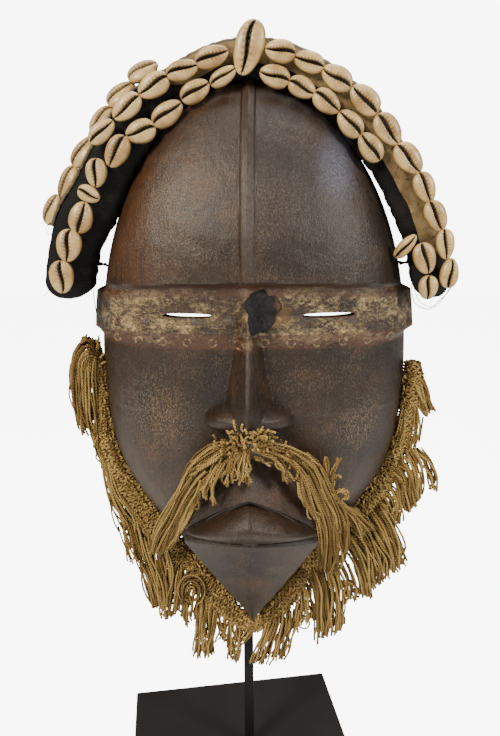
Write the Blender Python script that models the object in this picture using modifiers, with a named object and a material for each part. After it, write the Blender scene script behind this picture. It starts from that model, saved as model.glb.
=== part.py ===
"""A carved face mask with a shell headdress and a cord beard, on its post and base.

The mask faces -Y and stands upright, +X is on the viewer's right, and the
origin is the centre of the base's underside. Sizes are in metres.
"""

import math

import bmesh
import bpy
import numpy as np
from mathutils import Matrix, Vector

MM = 0.001
CLEARANCE = 0.3 * MM

# Stand
BASE_WIDTH = 147 * MM
BASE_DEPTH = 120 * MM
BASE_THICKNESS = 22 * MM
BASE_EDGE = 0.8 * MM
BASE_TURN = 10.5
POST_ASIDE = 6 * MM
POST_SIDE = 6 * MM
SOCKET_DEPTH = 16 * MM
CHIN_ABOVE_BASE = 115 * MM
HOOK_REACH = 17 * MM
HOOK_RISE = 16 * MM
HOOK_LIP = 8 * MM
HOOK_ROOM = 2.5 * MM

# Mask: the carving keeps its proportions as shares of these three sizes
MASK_HEIGHT = 313 * MM
MASK_WIDTH = 176 * MM
MASK_DEPTH = 58 * MM
MASK_ASIDE = POST_ASIDE + 4.4 * MM
WALL = 9 * MM
SLIT_HEIGHT = 2.6 * MM
RESIN_SIZE = (15 * MM, 19 * MM, 2.6 * MM)

# Headdress
ROLL_FRONT = 26 * MM
ROLL_BACK = 4 * MM
ROLL_LEAN = 5 * MM
ROLL_GAP_TOP = 0.8 * MM
ROLL_GAP_END = 3.7 * MM
ROLL_WIDER_LEFT = 3 * MM
ARCH_END = 92
ROLL_SPANS = 26
SEAT_REACH = 0.62
SIDEWAYS = 50
STRIP_THICKNESS = 1.8 * MM
STRIP_FROM = -71
STRIP_TO = 78
SHELL_HEIGHT = 6.4 * MM
LASHING_RADIUS = 1.3 * MM

# Beard and moustache
BRAID_WIDTH = 8 * MM
BRAID_DEPTH = 9 * MM
BRAID_FORWARD = 9 * MM
BRAID_TOP = 172
FRINGE_THICKNESS = 8 * MM
MOUSTACHE_THICKNESS = 5 * MM

# The carving is drawn in units: 313 high, 176 wide and 58 deep
TOP = 313
HALF_WIDTH = 88
FOREHEAD_DEPTH = 58
UNIT_UP = MASK_HEIGHT / TOP
UNIT_ACROSS = MASK_WIDTH / (HALF_WIDTH * 2)
UNIT_FORWARD = MASK_DEPTH / FOREHEAD_DEPTH
WIDEST = 150
FOREHEAD = 215
EDGE = 12
ARCH_LEVEL = 200
BROW = 208
SLIT = 190.5
BAND_FOOT = 177
NOSE_FOOT = 137
MOUTH_HALF = 37

CHIN_Z = BASE_THICKNESS + CHIN_ABOVE_BASE
RIM_Y = -(POST_SIDE / 2 + CLEARANCE)

COLOURS = {
    "dark_wood": ((0.105, 0.066, 0.044, 1), 0.42, 0.0),
    "resin": ((0.012, 0.011, 0.011, 1), 0.55, 0.0),
    "black_cloth": ((0.014, 0.013, 0.013, 1), 0.9, 0.0),
    "tan_strip": ((0.27, 0.19, 0.10, 1), 0.75, 0.0),
    "shell": ((0.56, 0.43, 0.25, 1), 0.35, 0.0),
    "cord": ((0.36, 0.23, 0.085, 1), 0.85, 0.0),
    "thread": ((0.012, 0.011, 0.011, 1), 0.8, 0.0),
    "black_base": ((0.02, 0.019, 0.02, 1), 0.5, 0.0),
    "black_steel": ((0.012, 0.012, 0.012, 1), 0.45, 0.6),
}


def clear_scene():
    for thing in list(bpy.data.objects):
        bpy.data.objects.remove(thing)


def collection(name):
    made = bpy.data.collections.new(name)
    bpy.context.scene.collection.children.link(made)
    return made


def material(name):
    made = bpy.data.materials.get(name)
    if made is None:
        colour, roughness, metallic = COLOURS[name]
        made = bpy.data.materials.new(name)
        made.use_nodes = True
        shader = made.node_tree.nodes["Principled BSDF"]
        shader.inputs["Base Color"].default_value = colour
        shader.inputs["Roughness"].default_value = roughness
        shader.inputs["Metallic"].default_value = metallic
        made.diffuse_color = colour
    return made


def add_object(name, mesh, finish, home, smooth=True):
    """Puts a mesh in the scene as one named piece."""
    thing = bpy.data.objects.new(name, mesh)
    home.objects.link(thing)
    if finish:
        mesh.materials.append(material(finish))
    if smooth:
        mesh.shade_smooth()
        mesh.set_sharp_from_angle(angle=math.radians(40))
    return thing


def mesh_from(work, name):
    """Turns the working shape into a mesh whose faces point outwards."""
    bmesh.ops.recalc_face_normals(work, faces=work.faces)
    if work.calc_volume(signed=True) < 0:
        bmesh.ops.reverse_faces(work, faces=work.faces)
    mesh = bpy.data.meshes.new(name)
    work.to_mesh(mesh)
    work.free()
    return mesh


def loft(sections, name):
    """A closed solid through rings of points, with flat ends."""
    work = bmesh.new()
    rings = [[work.verts.new(point) for point in ring] for ring in sections]
    sides = len(rings[0])
    for first, second in zip(rings, rings[1:]):
        for i in range(sides):
            j = (i + 1) % sides
            work.faces.new((first[i], first[j], second[j], second[i]))
    work.faces.new(rings[0])
    work.faces.new(rings[-1])
    return mesh_from(work, name)


# Curves of the carving

def along(points, at):
    """A smooth curve through the points that never overshoots them."""
    xs, ys = np.array(points, float).T
    at = np.asarray(at, float)
    steps = np.diff(xs)
    slopes = np.diff(ys) / steps
    tangents = np.zeros(len(xs))
    tangents[0], tangents[-1] = slopes[0], slopes[-1]
    before, after = slopes[:-1], slopes[1:]
    rising = before * after > 0
    inner = np.zeros(len(before))
    inner[rising] = 2 * before[rising] * after[rising] / (before + after)[rising]
    tangents[1:-1] = inner
    i = np.clip(np.searchsorted(xs, at) - 1, 0, len(steps) - 1)
    t = np.clip((at - xs[i]) / steps[i], 0, 1)
    rise = (3 - 2 * t) * t * t
    lead = t * (1 - t) ** 2 * tangents[i] * steps[i]
    tail = t * t * (t - 1) * tangents[i + 1] * steps[i]
    return ys[i] + (ys[i + 1] - ys[i]) * rise + lead + tail


def step(low, high, at):
    t = np.clip((np.asarray(at, float) - low) / (high - low), 0, 1)
    return t * t * (3 - 2 * t)


def larger(a, b, soften=2.0):
    """The larger of two surfaces, with the valley between them rounded."""
    return (a + b + np.sqrt((a - b) ** 2 + soften**2)) / 2 - soften / 4


def plain_half_width(up):
    """Half the face's width at a height, in units, without the ears."""
    up = np.asarray(up, float)
    above = np.clip((up - WIDEST) / (TOP - WIDEST), 0, 1)
    upper = HALF_WIDTH * np.clip(1 - above**2.5, 0, 1) ** (1 / 1.65)
    line = 50.5 * np.maximum(up / 59, 0.001) ** 1.12
    lower = (line**-7.0 + (HALF_WIDTH + 0.5) ** -7.0) ** (-1 / 7)
    return np.where(up > WIDEST, upper, lower)


def ear(up):
    """How far the flat ear beside each eye stands out, in units."""
    return 5 * step(BAND_FOOT, BAND_FOOT + 3, up) * (1 - step(BROW - 7, BROW - 4, up))


def half_width(up):
    return plain_half_width(up) + ear(up)


def dome(s, up, across):
    """The smooth face under its features: forehead over a recessed eye band,
    with a steep wall round the outline."""
    closing = np.clip((up - FOREHEAD) / (TOP - FOREHEAD), 0, 1)
    forehead = FOREHEAD_DEPTH * np.sqrt(np.clip(1 - closing**1.8, 0, 1))
    face = along(
        [(0, 20), (20, 30), (45, 39), (75, 45), (110, 50), (150, 52.5), (177, 52), (205, 52)],
        up,
    )
    brow = BROW - 4 * (across / HALF_WIDTH) ** 2
    height = face + (forehead - face) * step(brow - 1.4, brow + 1.4, up)
    inner = np.clip(np.abs(across) / np.maximum(plain_half_width(up), 0.01), 0, 1)
    edge = np.minimum(EDGE, height * 0.5)
    rounded = edge + (height - edge) * np.sqrt(np.clip(1 - inner**2.2, 0, 1))
    flat_ear = 17 * (1 - np.clip(np.abs(s), 0, 1) ** 60) * np.clip(ear(up) / 5, 0, 1)
    return np.where(ear(up) > 0.01, np.maximum(rounded, flat_ear), rounded)


def nose(across, up):
    """A broad bridge over two flat-bottomed wings, standing on the face."""
    foot = step(NOSE_FOOT - 1.5, NOSE_FOOT + 1.5, up)
    rise = along([(137, 22), (148, 26), (156, 24), (168, 18), (182, 11), (200, 5), (210, 0)], up)
    half = along([(137, 14), (150, 12.5), (160, 11.5), (180, 8), (210, 6)], up)
    share = np.clip(np.abs(across) / half, 0, 1)
    bridge = rise * (1 - share**1.7) ** 0.95
    beside = np.clip(np.abs(across) / 21, 0, 1)
    level = 143.5 + 2.5 * beside**2
    reach = ((up - level) / (8.5 - 2 * beside**2)) ** 2
    wing = 17 * np.clip(1 - beside**3.2, 0, 1) ** 0.5 * np.clip(1 - reach, 0, 1) ** 0.5
    return np.maximum(larger(bridge, wing, 1.5) - 0.4, 0) * foot


def forehead_ridge(across, up):
    """The raised strip down the middle of the forehead, with a crest."""
    width = np.abs(across)
    strip = 1.0 * (1 - step(3.0, 3.9, width)) + 1.5 * np.clip(1 - width / 3.4, 0, 1)
    return strip * step(BROW - 3, BROW + 2, up)


def lip_edge(across):
    """Height of the upper lip's lower edge."""
    return 98 - 28 * np.clip(np.abs(across) / MOUTH_HALF, 0, 1.2) ** 1.3


def lip_foot(across):
    """Height of the lower lip's lower edge."""
    return 72 - 8 * np.clip(np.abs(across) / MOUTH_HALF, 0, 1.2) ** 1.5


def muzzle(across, up):
    """Upper lip, the recess under it, the lower lip's roll and the chin."""
    side = np.clip(np.abs(across) / MOUTH_HALF, 0, 1.3)
    fade = np.clip(1 - side**2, 0, 1)
    edge, foot = lip_edge(across), lip_foot(across)
    upper = 66 - 24 * side**1.3 - 0.45 * (up - edge)
    recess = 59 - 19 * side**1.6
    roll_top = edge - 4 * fade
    share = np.clip((up - foot) / np.maximum(roll_top - foot, 0.5), 0, 1)
    lower = recess + 12 * np.sqrt(fade) * np.sin(math.pi * share) ** 0.7
    chin_half = np.clip(0.58 * up, 0.5, MOUTH_HALF)
    outside = np.maximum(np.abs(across) - chin_half, 0)
    lean = np.clip(np.abs(across) / chin_half, 0, 1) ** 1.5
    chin = 26 + 36 * (np.clip(up, 0, None) / 72) ** 0.9
    chin = chin - (6 + 8 * np.clip(up, 0, None) / 72) * lean - 2.5 * outside
    mouth = np.where(up > edge, upper, np.where(up > foot, lower, chin))
    beyond = np.maximum(np.abs(across) - MOUTH_HALF, 0)
    return mouth - 2.0 * beyond


def slit_groove(across, up):
    """The shallow groove that each eye slit lies in."""
    length = step(5, 12, np.abs(across)) * (1 - step(56, 66, np.abs(across)))
    return 1.6 * length * np.clip(1 - np.abs(up - SLIT) / 4, 0, 1)


def carving(s, up):
    """Depth of the carved front, in units, at a share s of the half width."""
    across = s * half_width(up)
    surface = dome(s, up, across)
    lower = up < NOSE_FOOT + 6
    surface = np.where(lower, larger(surface, muzzle(across, up)), surface)
    surface = surface + nose(across, up) + forehead_ridge(across, up) - slit_groove(across, up)
    return surface * np.sqrt(np.clip(1 - np.abs(s) ** 10, 0, 1))


def mouth_warp(across, up):
    """Bends the mesh rows so that they follow the edges of the lips."""
    side = np.clip(np.abs(across) / MOUTH_HALF, 0, 1)
    fade = 1 - step(MOUTH_HALF, MOUTH_HALF + 30, np.abs(across))
    drop = along([(58, 0), (72, 8), (98, 28), (132, 0)], up)
    drop = np.where((up > 58) & (up < 132), drop, 0)
    return drop * side**1.3 * fade


def place(across, forward, up):
    """A point of the carving, in units, as a place in the scene."""
    return (
        MASK_ASIDE + across * UNIT_ACROSS,
        RIM_Y - forward * UNIT_FORWARD,
        CHIN_Z + up * UNIT_UP,
    )


def wood_depth(across, up):
    """How far forward the carved front is at a point, in units."""
    width = max(float(half_width(max(up, 0))), 0.01)
    if not 0 < up < TOP or abs(across) > width:
        return 0.0
    return float(carving(np.array(across / width), np.array(up)))


def relief(name, levels, columns, point, back):
    """A closed solid with a carved front: a grid whose points are moved into
    place, closed to one point at both ends, with a flat back."""
    work = bmesh.new()
    rows = len(levels)
    bmesh.ops.create_grid(work, x_segments=columns - 1, y_segments=rows - 1, size=0.5)
    for vert in work.verts:
        column = round((vert.co.x + 0.5) * (columns - 1))
        row = round((vert.co.y + 0.5) * (rows - 1))
        even = 2 * column / (columns - 1) - 1
        share = math.sin(math.pi / 2 * math.copysign(abs(even) ** 1.3, even))
        vert.co = point(share, levels[row])
    bmesh.ops.remove_doubles(work, verts=work.verts, dist=0.01 * MM)
    rim = [edge for edge in work.edges if edge.is_boundary]
    if back:
        grown = bmesh.ops.extrude_edge_only(work, edges=rim)["geom"]
        for vert in [part for part in grown if isinstance(part, bmesh.types.BMVert)]:
            vert.co.y += back
        rim = [edge for edge in work.edges if edge.is_boundary]
    bmesh.ops.holes_fill(work, edges=rim, sides=0)
    return mesh_from(work, name)


def spaced(levels, spacing):
    """The named levels, with more between them no further apart than spacing."""
    made = [levels[0]]
    for low, high in zip(levels, levels[1:]):
        count = max(1, math.ceil((high - low) / spacing))
        made += [low + (high - low) * (i + 1) / count for i in range(count)]
    return made


def front_point(s, up):
    across = s * float(half_width(up))
    if 0 < up < TOP:
        lowered = up - float(mouth_warp(across, up))
        across = s * float(half_width(lowered))
    else:
        lowered = up
    return place(across, float(carving(np.array(s), np.array(lowered))), lowered)


def hollow_point(s, up):
    """The hollow is the same outline drawn in by the wall, with a plain dome."""
    low = WALL / UNIT_UP * 1.3
    high = TOP - WALL / UNIT_UP
    drawn = low + (high - low) * up / TOP
    narrowing = 1 - WALL * 2 / MASK_WIDTH
    across = s * float(plain_half_width(up)) * narrowing
    deepest = along(
        [(0, 6), (30, 20), (75, 35), (110, 40), (150, 42), (200, 43.5), (FOREHEAD, 45)],
        up,
    )
    closing = np.clip((up - FOREHEAD) / (TOP - FOREHEAD), 0, 1)
    deepest = deepest * np.sqrt(np.clip(1 - closing**1.8, 0, 1))
    thinner = (MASK_DEPTH - WALL) / MASK_DEPTH * FOREHEAD_DEPTH / 49
    forward = float(deepest) * math.sqrt(max(1 - abs(s) ** 2.3, 0)) * thinner
    return place(across, forward, drawn)


def cut(target, cutter):
    """Cuts one object out of another and keeps the cut in the mesh."""
    step_out = target.modifiers.new("cut", "BOOLEAN")
    step_out.operation = "DIFFERENCE"
    step_out.object = cutter
    cutter.hide_render = True
    cutter.display_type = "WIRE"


def build_mask(home, cutters):
    """The carved wooden face, hollow behind, with two slits for eyes."""
    levels = spaced([0, 12, 34, 60, 70.6, 73.4, 85, 96.6, 99.4, 112, 134, 139, 144, 152], 13)
    levels += spaced([152, BAND_FOOT, SLIT - 4, SLIT, SLIT + 4, BROW - 1.6, BROW + 1.6], 14)[1:]
    levels += spaced([BROW + 1.6, 266, 290, 303, 309.5, TOP], 18)[1:]
    face = relief("mask_carving", levels, 43, front_point, 0)
    mask = add_object("mask_carving", face, "dark_wood", home)
    inner_levels = [0, 14, 40, 75, 110, 150, 200, 240, 272, 295, 307, TOP]
    hollow = relief("hollow", inner_levels, 17, hollow_point, 6 * MM)
    cut(mask, add_object("hollow_cutter", hollow, None, cutters, smooth=False))
    for side, near, far in (("left", -46, -19), ("right", 27, 54)):
        low = Vector(place(near, 0, SLIT))
        high = Vector(place(far, 70, SLIT))
        work = bmesh.new()
        bmesh.ops.create_cube(work, size=1)
        for vert in work.verts:
            vert.co.x = low.x if vert.co.x < 0 else high.x
            vert.co.y = low.y if vert.co.y > 0 else high.y
            vert.co.z = low.z + math.copysign(SLIT_HEIGHT / 2, vert.co.z)
        slit = add_object(side + "_slit_cutter", mesh_from(work, "slit"), None, cutters, False)
        cut(mask, slit)


def build_resin(home):
    """The crust of black resin on the bridge, draped over the carving."""
    width, height, thickness = RESIN_SIZE
    work = bmesh.new()
    bmesh.ops.create_uvsphere(work, u_segments=12, v_segments=6, radius=1)
    for vert in work.verts:
        ring = math.atan2(vert.co.y, vert.co.x)
        lobes = 1 + 0.10 * math.sin(3 * ring + 0.6) + 0.06 * math.sin(5 * ring)
        across = 5.5 + vert.co.x * lobes * width / 2 / UNIT_ACROSS
        up = 196 + vert.co.y * lobes * height / 2 / UNIT_UP
        x, y, z = place(across, wood_depth(across, up), up)
        lift = CLEARANCE + 0.7 * MM + thickness * (vert.co.z + 1) / 2
        vert.co = (x, y - lift, z)
    add_object("resin_lump", mesh_from(work, "resin_lump"), "resin", home)


# The headdress is laid out in angles about a centre behind the eyes:
# 0 degrees is straight up, positive is towards the viewer's right.
# ROLL_OUTER: angle, and how far outside the wood the roll reaches there
ROLL_OUTER = [(0, 19), (11, 21.3), (31, 23.5), (55, 24.5), (65, 26.5), (92, 27.5)]


def on_arch(angle, radius, forward):
    turned = math.radians(angle)
    return (
        MASK_ASIDE + radius * math.sin(turned),
        RIM_Y - forward,
        CHIN_Z + ARCH_LEVEL * UNIT_UP + radius * math.cos(turned),
    )


def rim_radius(angle):
    """Distance from the arch's centre to the wood's edge, found by halving."""
    turned = math.radians(angle)
    low, high = 0.0, MASK_HEIGHT
    for _ in range(40):
        middle = (low + high) / 2
        up = ARCH_LEVEL + middle * math.cos(turned) / UNIT_UP
        inside = up < TOP and middle * abs(math.sin(turned)) < (
            float(plain_half_width(up)) * UNIT_ACROSS
        )
        low, high = (middle, high) if inside else (low, middle)
    return low


def roll_span(angle):
    """Inner and outer radius of the cloth roll: it follows the wood's edge."""
    rim = rim_radius(angle)
    open_share = float(step(50, 80, abs(angle)))
    inner = rim + ROLL_GAP_TOP + (ROLL_GAP_END - ROLL_GAP_TOP) * open_share
    outer = rim + float(along(ROLL_OUTER, abs(angle))) * MM
    return inner, outer + ROLL_WIDER_LEFT * float(step(55, 70, -angle)) - STRIP_THICKNESS


def roll_section(angle, around, grow=0.0, shrink=1.0):
    """A point on the roll's rounded section: around 0 is the outer side and
    90 the front. grow lifts it off, and shrink tapers it towards an end."""
    inner, outer = roll_span(angle)
    turned = math.radians(around)
    half_across = (outer - inner) / 2 * shrink + grow
    half_deep = (ROLL_FRONT + ROLL_BACK) / 2 * shrink + grow
    c, s = math.cos(turned), math.sin(turned)
    reach = (abs(c) ** 3 + abs(s) ** 3) ** (-1 / 3)
    forward = (ROLL_FRONT - ROLL_BACK) / 2 + half_deep * s * reach
    leaning = ROLL_LEAN * (max(forward, 0) / ROLL_FRONT) ** 2
    radius = (inner + outer) / 2 + half_across * c * reach - leaning
    return on_arch(angle, radius, forward)


def build_headdress(home):
    """The black cloth roll, and the tan strip sewn over its outer half."""
    angles = [-ARCH_END + 2 * ARCH_END * i / ROLL_SPANS for i in range(ROLL_SPANS + 1)]
    sections = []
    for angle in angles:
        shrink = 0.72 if abs(angle) > ARCH_END - 0.1 else 1.0
        sections.append([roll_section(angle, k * 30, shrink=shrink) for k in range(12)])
    roll = loft(sections, "headdress_roll")
    add_object("headdress_roll", roll, "black_cloth", home)
    sections = []
    for angle in [a for a in angles if STRIP_FROM <= a <= STRIP_TO]:
        front_edge = 90 - 24 * float(step(14, 28, -angle))
        wrapped = [front_edge, 60, 30, 0, -30, -60]
        outside = [roll_section(angle, k, CLEARANCE * 2 + STRIP_THICKNESS) for k in wrapped]
        inside = [roll_section(angle, k, CLEARANCE * 2) for k in reversed(wrapped)]
        sections.append(outside + inside)
    strip = loft(sections, "headdress_strip")
    add_object("headdress_strip", strip, "tan_strip", home)


def wood_under(angle, radius):
    """How far forward the wood is behind a place on the arch."""
    turned = math.radians(angle)
    across = radius * math.sin(turned) / UNIT_ACROSS
    up = ARCH_LEVEL + radius * math.cos(turned) / UNIT_UP
    return wood_depth(across, up) * UNIT_FORWARD


def cowrie_mesh(name, length, width, height):
    """A cowrie with its slit upwards: pointed ends, a flatter underside."""
    work = bmesh.new()
    bmesh.ops.create_uvsphere(work, u_segments=8, v_segments=6, radius=1)
    for vert in work.verts:
        end, radial = vert.co.z, math.hypot(vert.co.x, vert.co.y)
        turn = math.atan2(vert.co.y, vert.co.x) if radial > 1e-4 else 0
        plump = radial**0.85 * (1 + 0.12 * end)
        front = math.cos(turn)
        rise = height * (0.58 * front if front > 0 else 0.42 * front) * plump
        if abs(turn) < 0.1:
            rise *= 0.62
        vert.co = (end * length / 2, math.sin(turn) * width / 2 * plump, rise)
    return mesh_from(work, name)


def add_shell(home, name, angle, outside, spin, length, width, tilt):
    """Sews one cowrie on the headdress, its slit outwards. outside is how far
    it lies beyond the wood's edge, spin turns it from the row's direction, and
    tilt leans it outwards."""
    inner, outer = roll_span(angle)
    turned, leaning = math.radians(angle), math.radians(tilt)
    radial = Vector((math.sin(turned), 0, math.cos(turned)))
    normal = Vector((0, -1, 0)) * math.cos(leaning) + radial * math.sin(leaning)
    row = Vector((math.cos(turned), 0, -math.sin(turned)))
    lift = STRIP_THICKNESS + CLEARANCE * 3 + SHELL_HEIGHT * 0.42
    if tilt > SIDEWAYS:
        centre = Vector(on_arch(angle, outer + lift + CLEARANCE, ROLL_FRONT * 0.5))
    else:
        radius = rim_radius(angle) + outside
        seat = (radius + ROLL_LEAN - inner) / (outer - inner) * 2 - 1
        seat = float(np.clip(seat, -SEAT_REACH, SEAT_REACH))
        half_deep = (ROLL_FRONT + ROLL_BACK) / 2
        surface = (ROLL_FRONT - ROLL_BACK) / 2 + half_deep * (1 - abs(seat) ** 3) ** (1 / 3)
        surface = max(surface, wood_under(angle, radius - width / 2) - STRIP_THICKNESS)
        centre = Vector(on_arch(angle, radius, surface + lift * math.cos(leaning)))
    frame = Matrix((row, normal.cross(row), normal)).transposed().to_4x4()
    frame = Matrix.Translation(centre) @ frame @ Matrix.Rotation(math.radians(spin), 4, "Z")
    thing = add_object(name, cowrie_mesh(name, length, width, SHELL_HEIGHT), "shell", home)
    thing.matrix_world = frame


# Each shell of a row in turn: its angle, how far it lies beyond the wood's
# edge in millimetres, its spin in degrees, its length and width in millimetres
SHELL_ROWS = {
    "left_inner": [
        (-6.5, -2.6, 24, 13.4, 8.0),
        (-14.6, -2.2, 18, 14.4, 10.4),
        (-24.0, -1.6, 14, 16.0, 11.0),
        (-33.2, 2.8, -14, 14.2, 11.6),
        (-42.2, 7.4, 18, 15.6, 12.0),
        (-51.0, 12.2, 36, 13.2, 11.0),
        (-57.4, 11.6, 10, 8.6, 11.0),
        (-64.8, 11.8, 7, 15.0, 12.2),
        (-74.2, 14.8, 3, 15.6, 13.0),
        (-84.0, 16.4, 1, 15.8, 13.0),
    ],
    "left_outer": [
        (-8.6, 7.8, 10, 15.4, 10.2),
        (-16.2, 9.6, -1, 14.8, 9.6),
        (-24.2, 13.2, 6, 15.6, 11.4),
        (-32.8, 16.2, 10, 15.6, 11.2),
        (-41.8, 19.6, 0, 14.6, 9.4),
    ],
    "right_outer": [
        (7.6, 9.0, -5, 13.6, 10.8),
        (14.6, 10.6, -8, 13.8, 9.8),
        (22.2, 12.4, -8, 14.8, 11.6),
        (30.8, 14.4, -12, 16.0, 12.2),
        (40.0, 14.6, -8, 16.0, 12.0),
        (49.4, 16.2, 0, 16.4, 12.2),
        (58.4, 17.8, -8, 14.6, 10.8),
        (67.0, 18.6, 8, 15.0, 10.8),
        (75.4, 20.0, -5, 14.2, 9.4),
        (83.7, 19.8, -8, 14.2, 9.6),
    ],
    "right_inner": [
        (6.9, -2.6, -12, 14.0, 10.8),
        (14.5, -1.4, -12, 13.0, 10.0),
        (22.0, 0.4, -16, 13.8, 10.6),
        (30.6, 1.2, -12, 14.2, 10.8),
        (39.4, 2.4, -16, 14.6, 10.8),
    ],
    "right_end": [
        (78.0, 8.2, 3, 14.8, 11.4),
        (87.4, 8.0, -5, 11.4, 10.0),
    ],
}

# The shells on the roll's outer face, which the viewer sees from the side:
# angle, spin, length and width
SIDE_SHELLS = [
    (-25.8, 9, 14.0, 9.6),
    (-33.0, 8, 14.2, 9.6),
    (-40.6, 6, 14.0, 9.6),
    (-49.8, 4, 15.4, 9.6),
    (-58.8, -4, 15.4, 9.6),
    (-67.2, -6, 14.2, 9.0),
]


def build_shells(home):
    """The cowries: one large one at the peak, and rows down both sides."""
    fit = min(UNIT_ACROSS, UNIT_UP)
    size = (23.5 * fit, 14 * fit)
    add_shell(home, "cowrie_center", 0.2, 7.4 * MM, 76, *size, 0)
    for row, shells in SHELL_ROWS.items():
        for i, (angle, outside, spin, length, width) in enumerate(shells):
            name = f"cowrie_{row}_{i + 1}"
            size = (length * fit, width * fit)
            add_shell(home, name, angle, outside * MM, spin, *size, 0)
    for i, (angle, spin, length, width) in enumerate(SIDE_SHELLS):
        size = (length * fit, width * fit)
        add_shell(home, f"cowrie_left_back_{i + 1}", angle, 0, spin, *size, 70)
    size = (14 * fit, 7 * fit)
    add_shell(home, "cowrie_right_leaning", 72.6, 0.2 * MM, 118, *size, -20)


def build_lashings(home):
    """Thread ties between the wood's edge and the roll, one on each side."""
    forward = (ROLL_FRONT - ROLL_BACK) / 2
    for side, angle in (("left", -79), ("right", 79)):
        on_roll = Vector(roll_section(angle, 180))
        on_wood = Vector(on_arch(angle, rim_radius(angle), forward))
        way = on_roll - on_wood
        work = bmesh.new()
        bmesh.ops.create_cone(
            work,
            cap_ends=True,
            segments=8,
            radius1=LASHING_RADIUS,
            radius2=LASHING_RADIUS,
            depth=way.length - CLEARANCE * 2,
        )
        lay = way.to_track_quat("Z", "Y").to_matrix().to_4x4()
        middle = Matrix.Translation((on_roll + on_wood) / 2)
        bmesh.ops.transform(work, matrix=middle @ lay, verts=work.verts)
        add_object("lashing_" + side, mesh_from(work, "lashing"), "thread", home)


# Beard and moustache

def beard_line(share):
    """The line that the braid follows, just outside the lower outline. share
    is -1 at its left end, 0 at the chin and 1 at its right end. Also gives
    the way outwards."""
    side = math.copysign(1, share) if share else 0
    up = abs(share) ** 1.15 * BRAID_TOP
    width = float(plain_half_width(up)) * UNIT_ACROSS
    nudge = 0.5
    slope = float(plain_half_width(up + nudge) - plain_half_width(max(up - nudge, 0)))
    run = min(nudge * 2, up + nudge)
    outwards = Vector((run * UNIT_UP, -slope * UNIT_ACROSS)).normalized()
    rounding = 1 - float(step(0, 6, up))
    outwards = outwards.lerp(Vector((0, -1)), rounding).normalized()
    reach = BRAID_WIDTH / 2 + CLEARANCE * (2 + 2 * rounding)
    x = width + outwards.x * reach
    z = up * UNIT_UP + outwards.y * reach
    return (
        Vector((MASK_ASIDE + side * x, CHIN_Z + z)),
        Vector((side * outwards.x, outwards.y)),
    )


def build_braid(home):
    """The knotted band that holds the beard, round the lower edge."""
    sections = []
    spans = 36
    for i in range(spans + 1):
        share = -1 + 2 * i / spans
        centre, outwards = beard_line(share)
        swell = 1 if 0 < i < spans else 0.6
        ring = []
        for k in range(8):
            turned = math.pi * 2 * k / 8
            across = math.cos(turned) * BRAID_WIDTH / 2 * swell
            forward = BRAID_FORWARD + math.sin(turned) * BRAID_DEPTH / 2 * swell
            spot = centre + outwards * across
            ring.append((spot.x, RIM_Y - forward, spot.y))
        sections.append(ring)
    add_object("beard_braid", loft(sections, "beard_braid"), "cord", home)


# How the fringe hangs: height on the braid line as a share, the strands'
# fall below the horizontal in degrees, and their length in millimetres
FRINGE_FALL = {
    "left": [
        (0.0, 90, 21),
        (0.18, 84, 30),
        (0.38, 74, 38),
        (0.52, 62, 30),
        (0.68, 52, 20),
        (1.0, 40, 13),
    ],
    "right": [
        (0.0, 90, 21),
        (0.18, 82, 34),
        (0.36, 70, 46),
        (0.52, 58, 38),
        (0.68, 50, 22),
        (1.0, 42, 10),
    ],
}


def build_fringe(home, side):
    """One side of the beard's fringe, a thick curtain with tufted ends."""
    sign = -1 if side == "left" else 1
    table = FRINGE_FALL[side]
    falls = [(share, fall) for share, fall, _ in table]
    lengths = [(share, length) for share, _, length in table]
    spans = 30
    sections = []
    for i in range(spans + 1):
        share = 0.012 + 0.988 * i / spans
        centre, outwards = beard_line(sign * share)
        fall = math.radians(float(along(falls, share)))
        tuft = 1 + 0.10 * math.sin(share * 34) + 0.07 * math.sin(share * 71 + 1)
        length = float(along(lengths, share)) * tuft * MM
        hang = Vector((sign * math.cos(fall), -math.sin(fall)))
        root = centre + outwards * (BRAID_WIDTH / 2 + CLEARANCE * 2)
        root.x += sign * CLEARANCE
        ring = []
        for reach, half in ((0, 0.5), (0.55, 0.42), (1, 0.2)):
            spot = root + hang * length * reach
            ring.append((spot, half))
        middle = RIM_Y - BRAID_FORWARD
        front = [(spot.x, middle - half * FRINGE_THICKNESS, spot.y) for spot, half in ring]
        rear = [(spot.x, middle + half * FRINGE_THICKNESS, spot.y) for spot, half in ring]
        sections.append(front + rear[::-1])
    name = "beard_fringe_" + side
    add_object(name, loft(sections, name), "cord", home)


# The moustache's middle line on the right: across, up, forward, half width
MOUSTACHE = [
    (0, 122.5, 64.5, 8.5),
    (10, 121, 64, 9.5),
    (22, 111, 60, 9.5),
    (34, 93, 54, 9),
    (44, 68, 44, 9),
    (51, 44, 34, 9),
    (56, 24, 27, 6.5),
]


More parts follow.
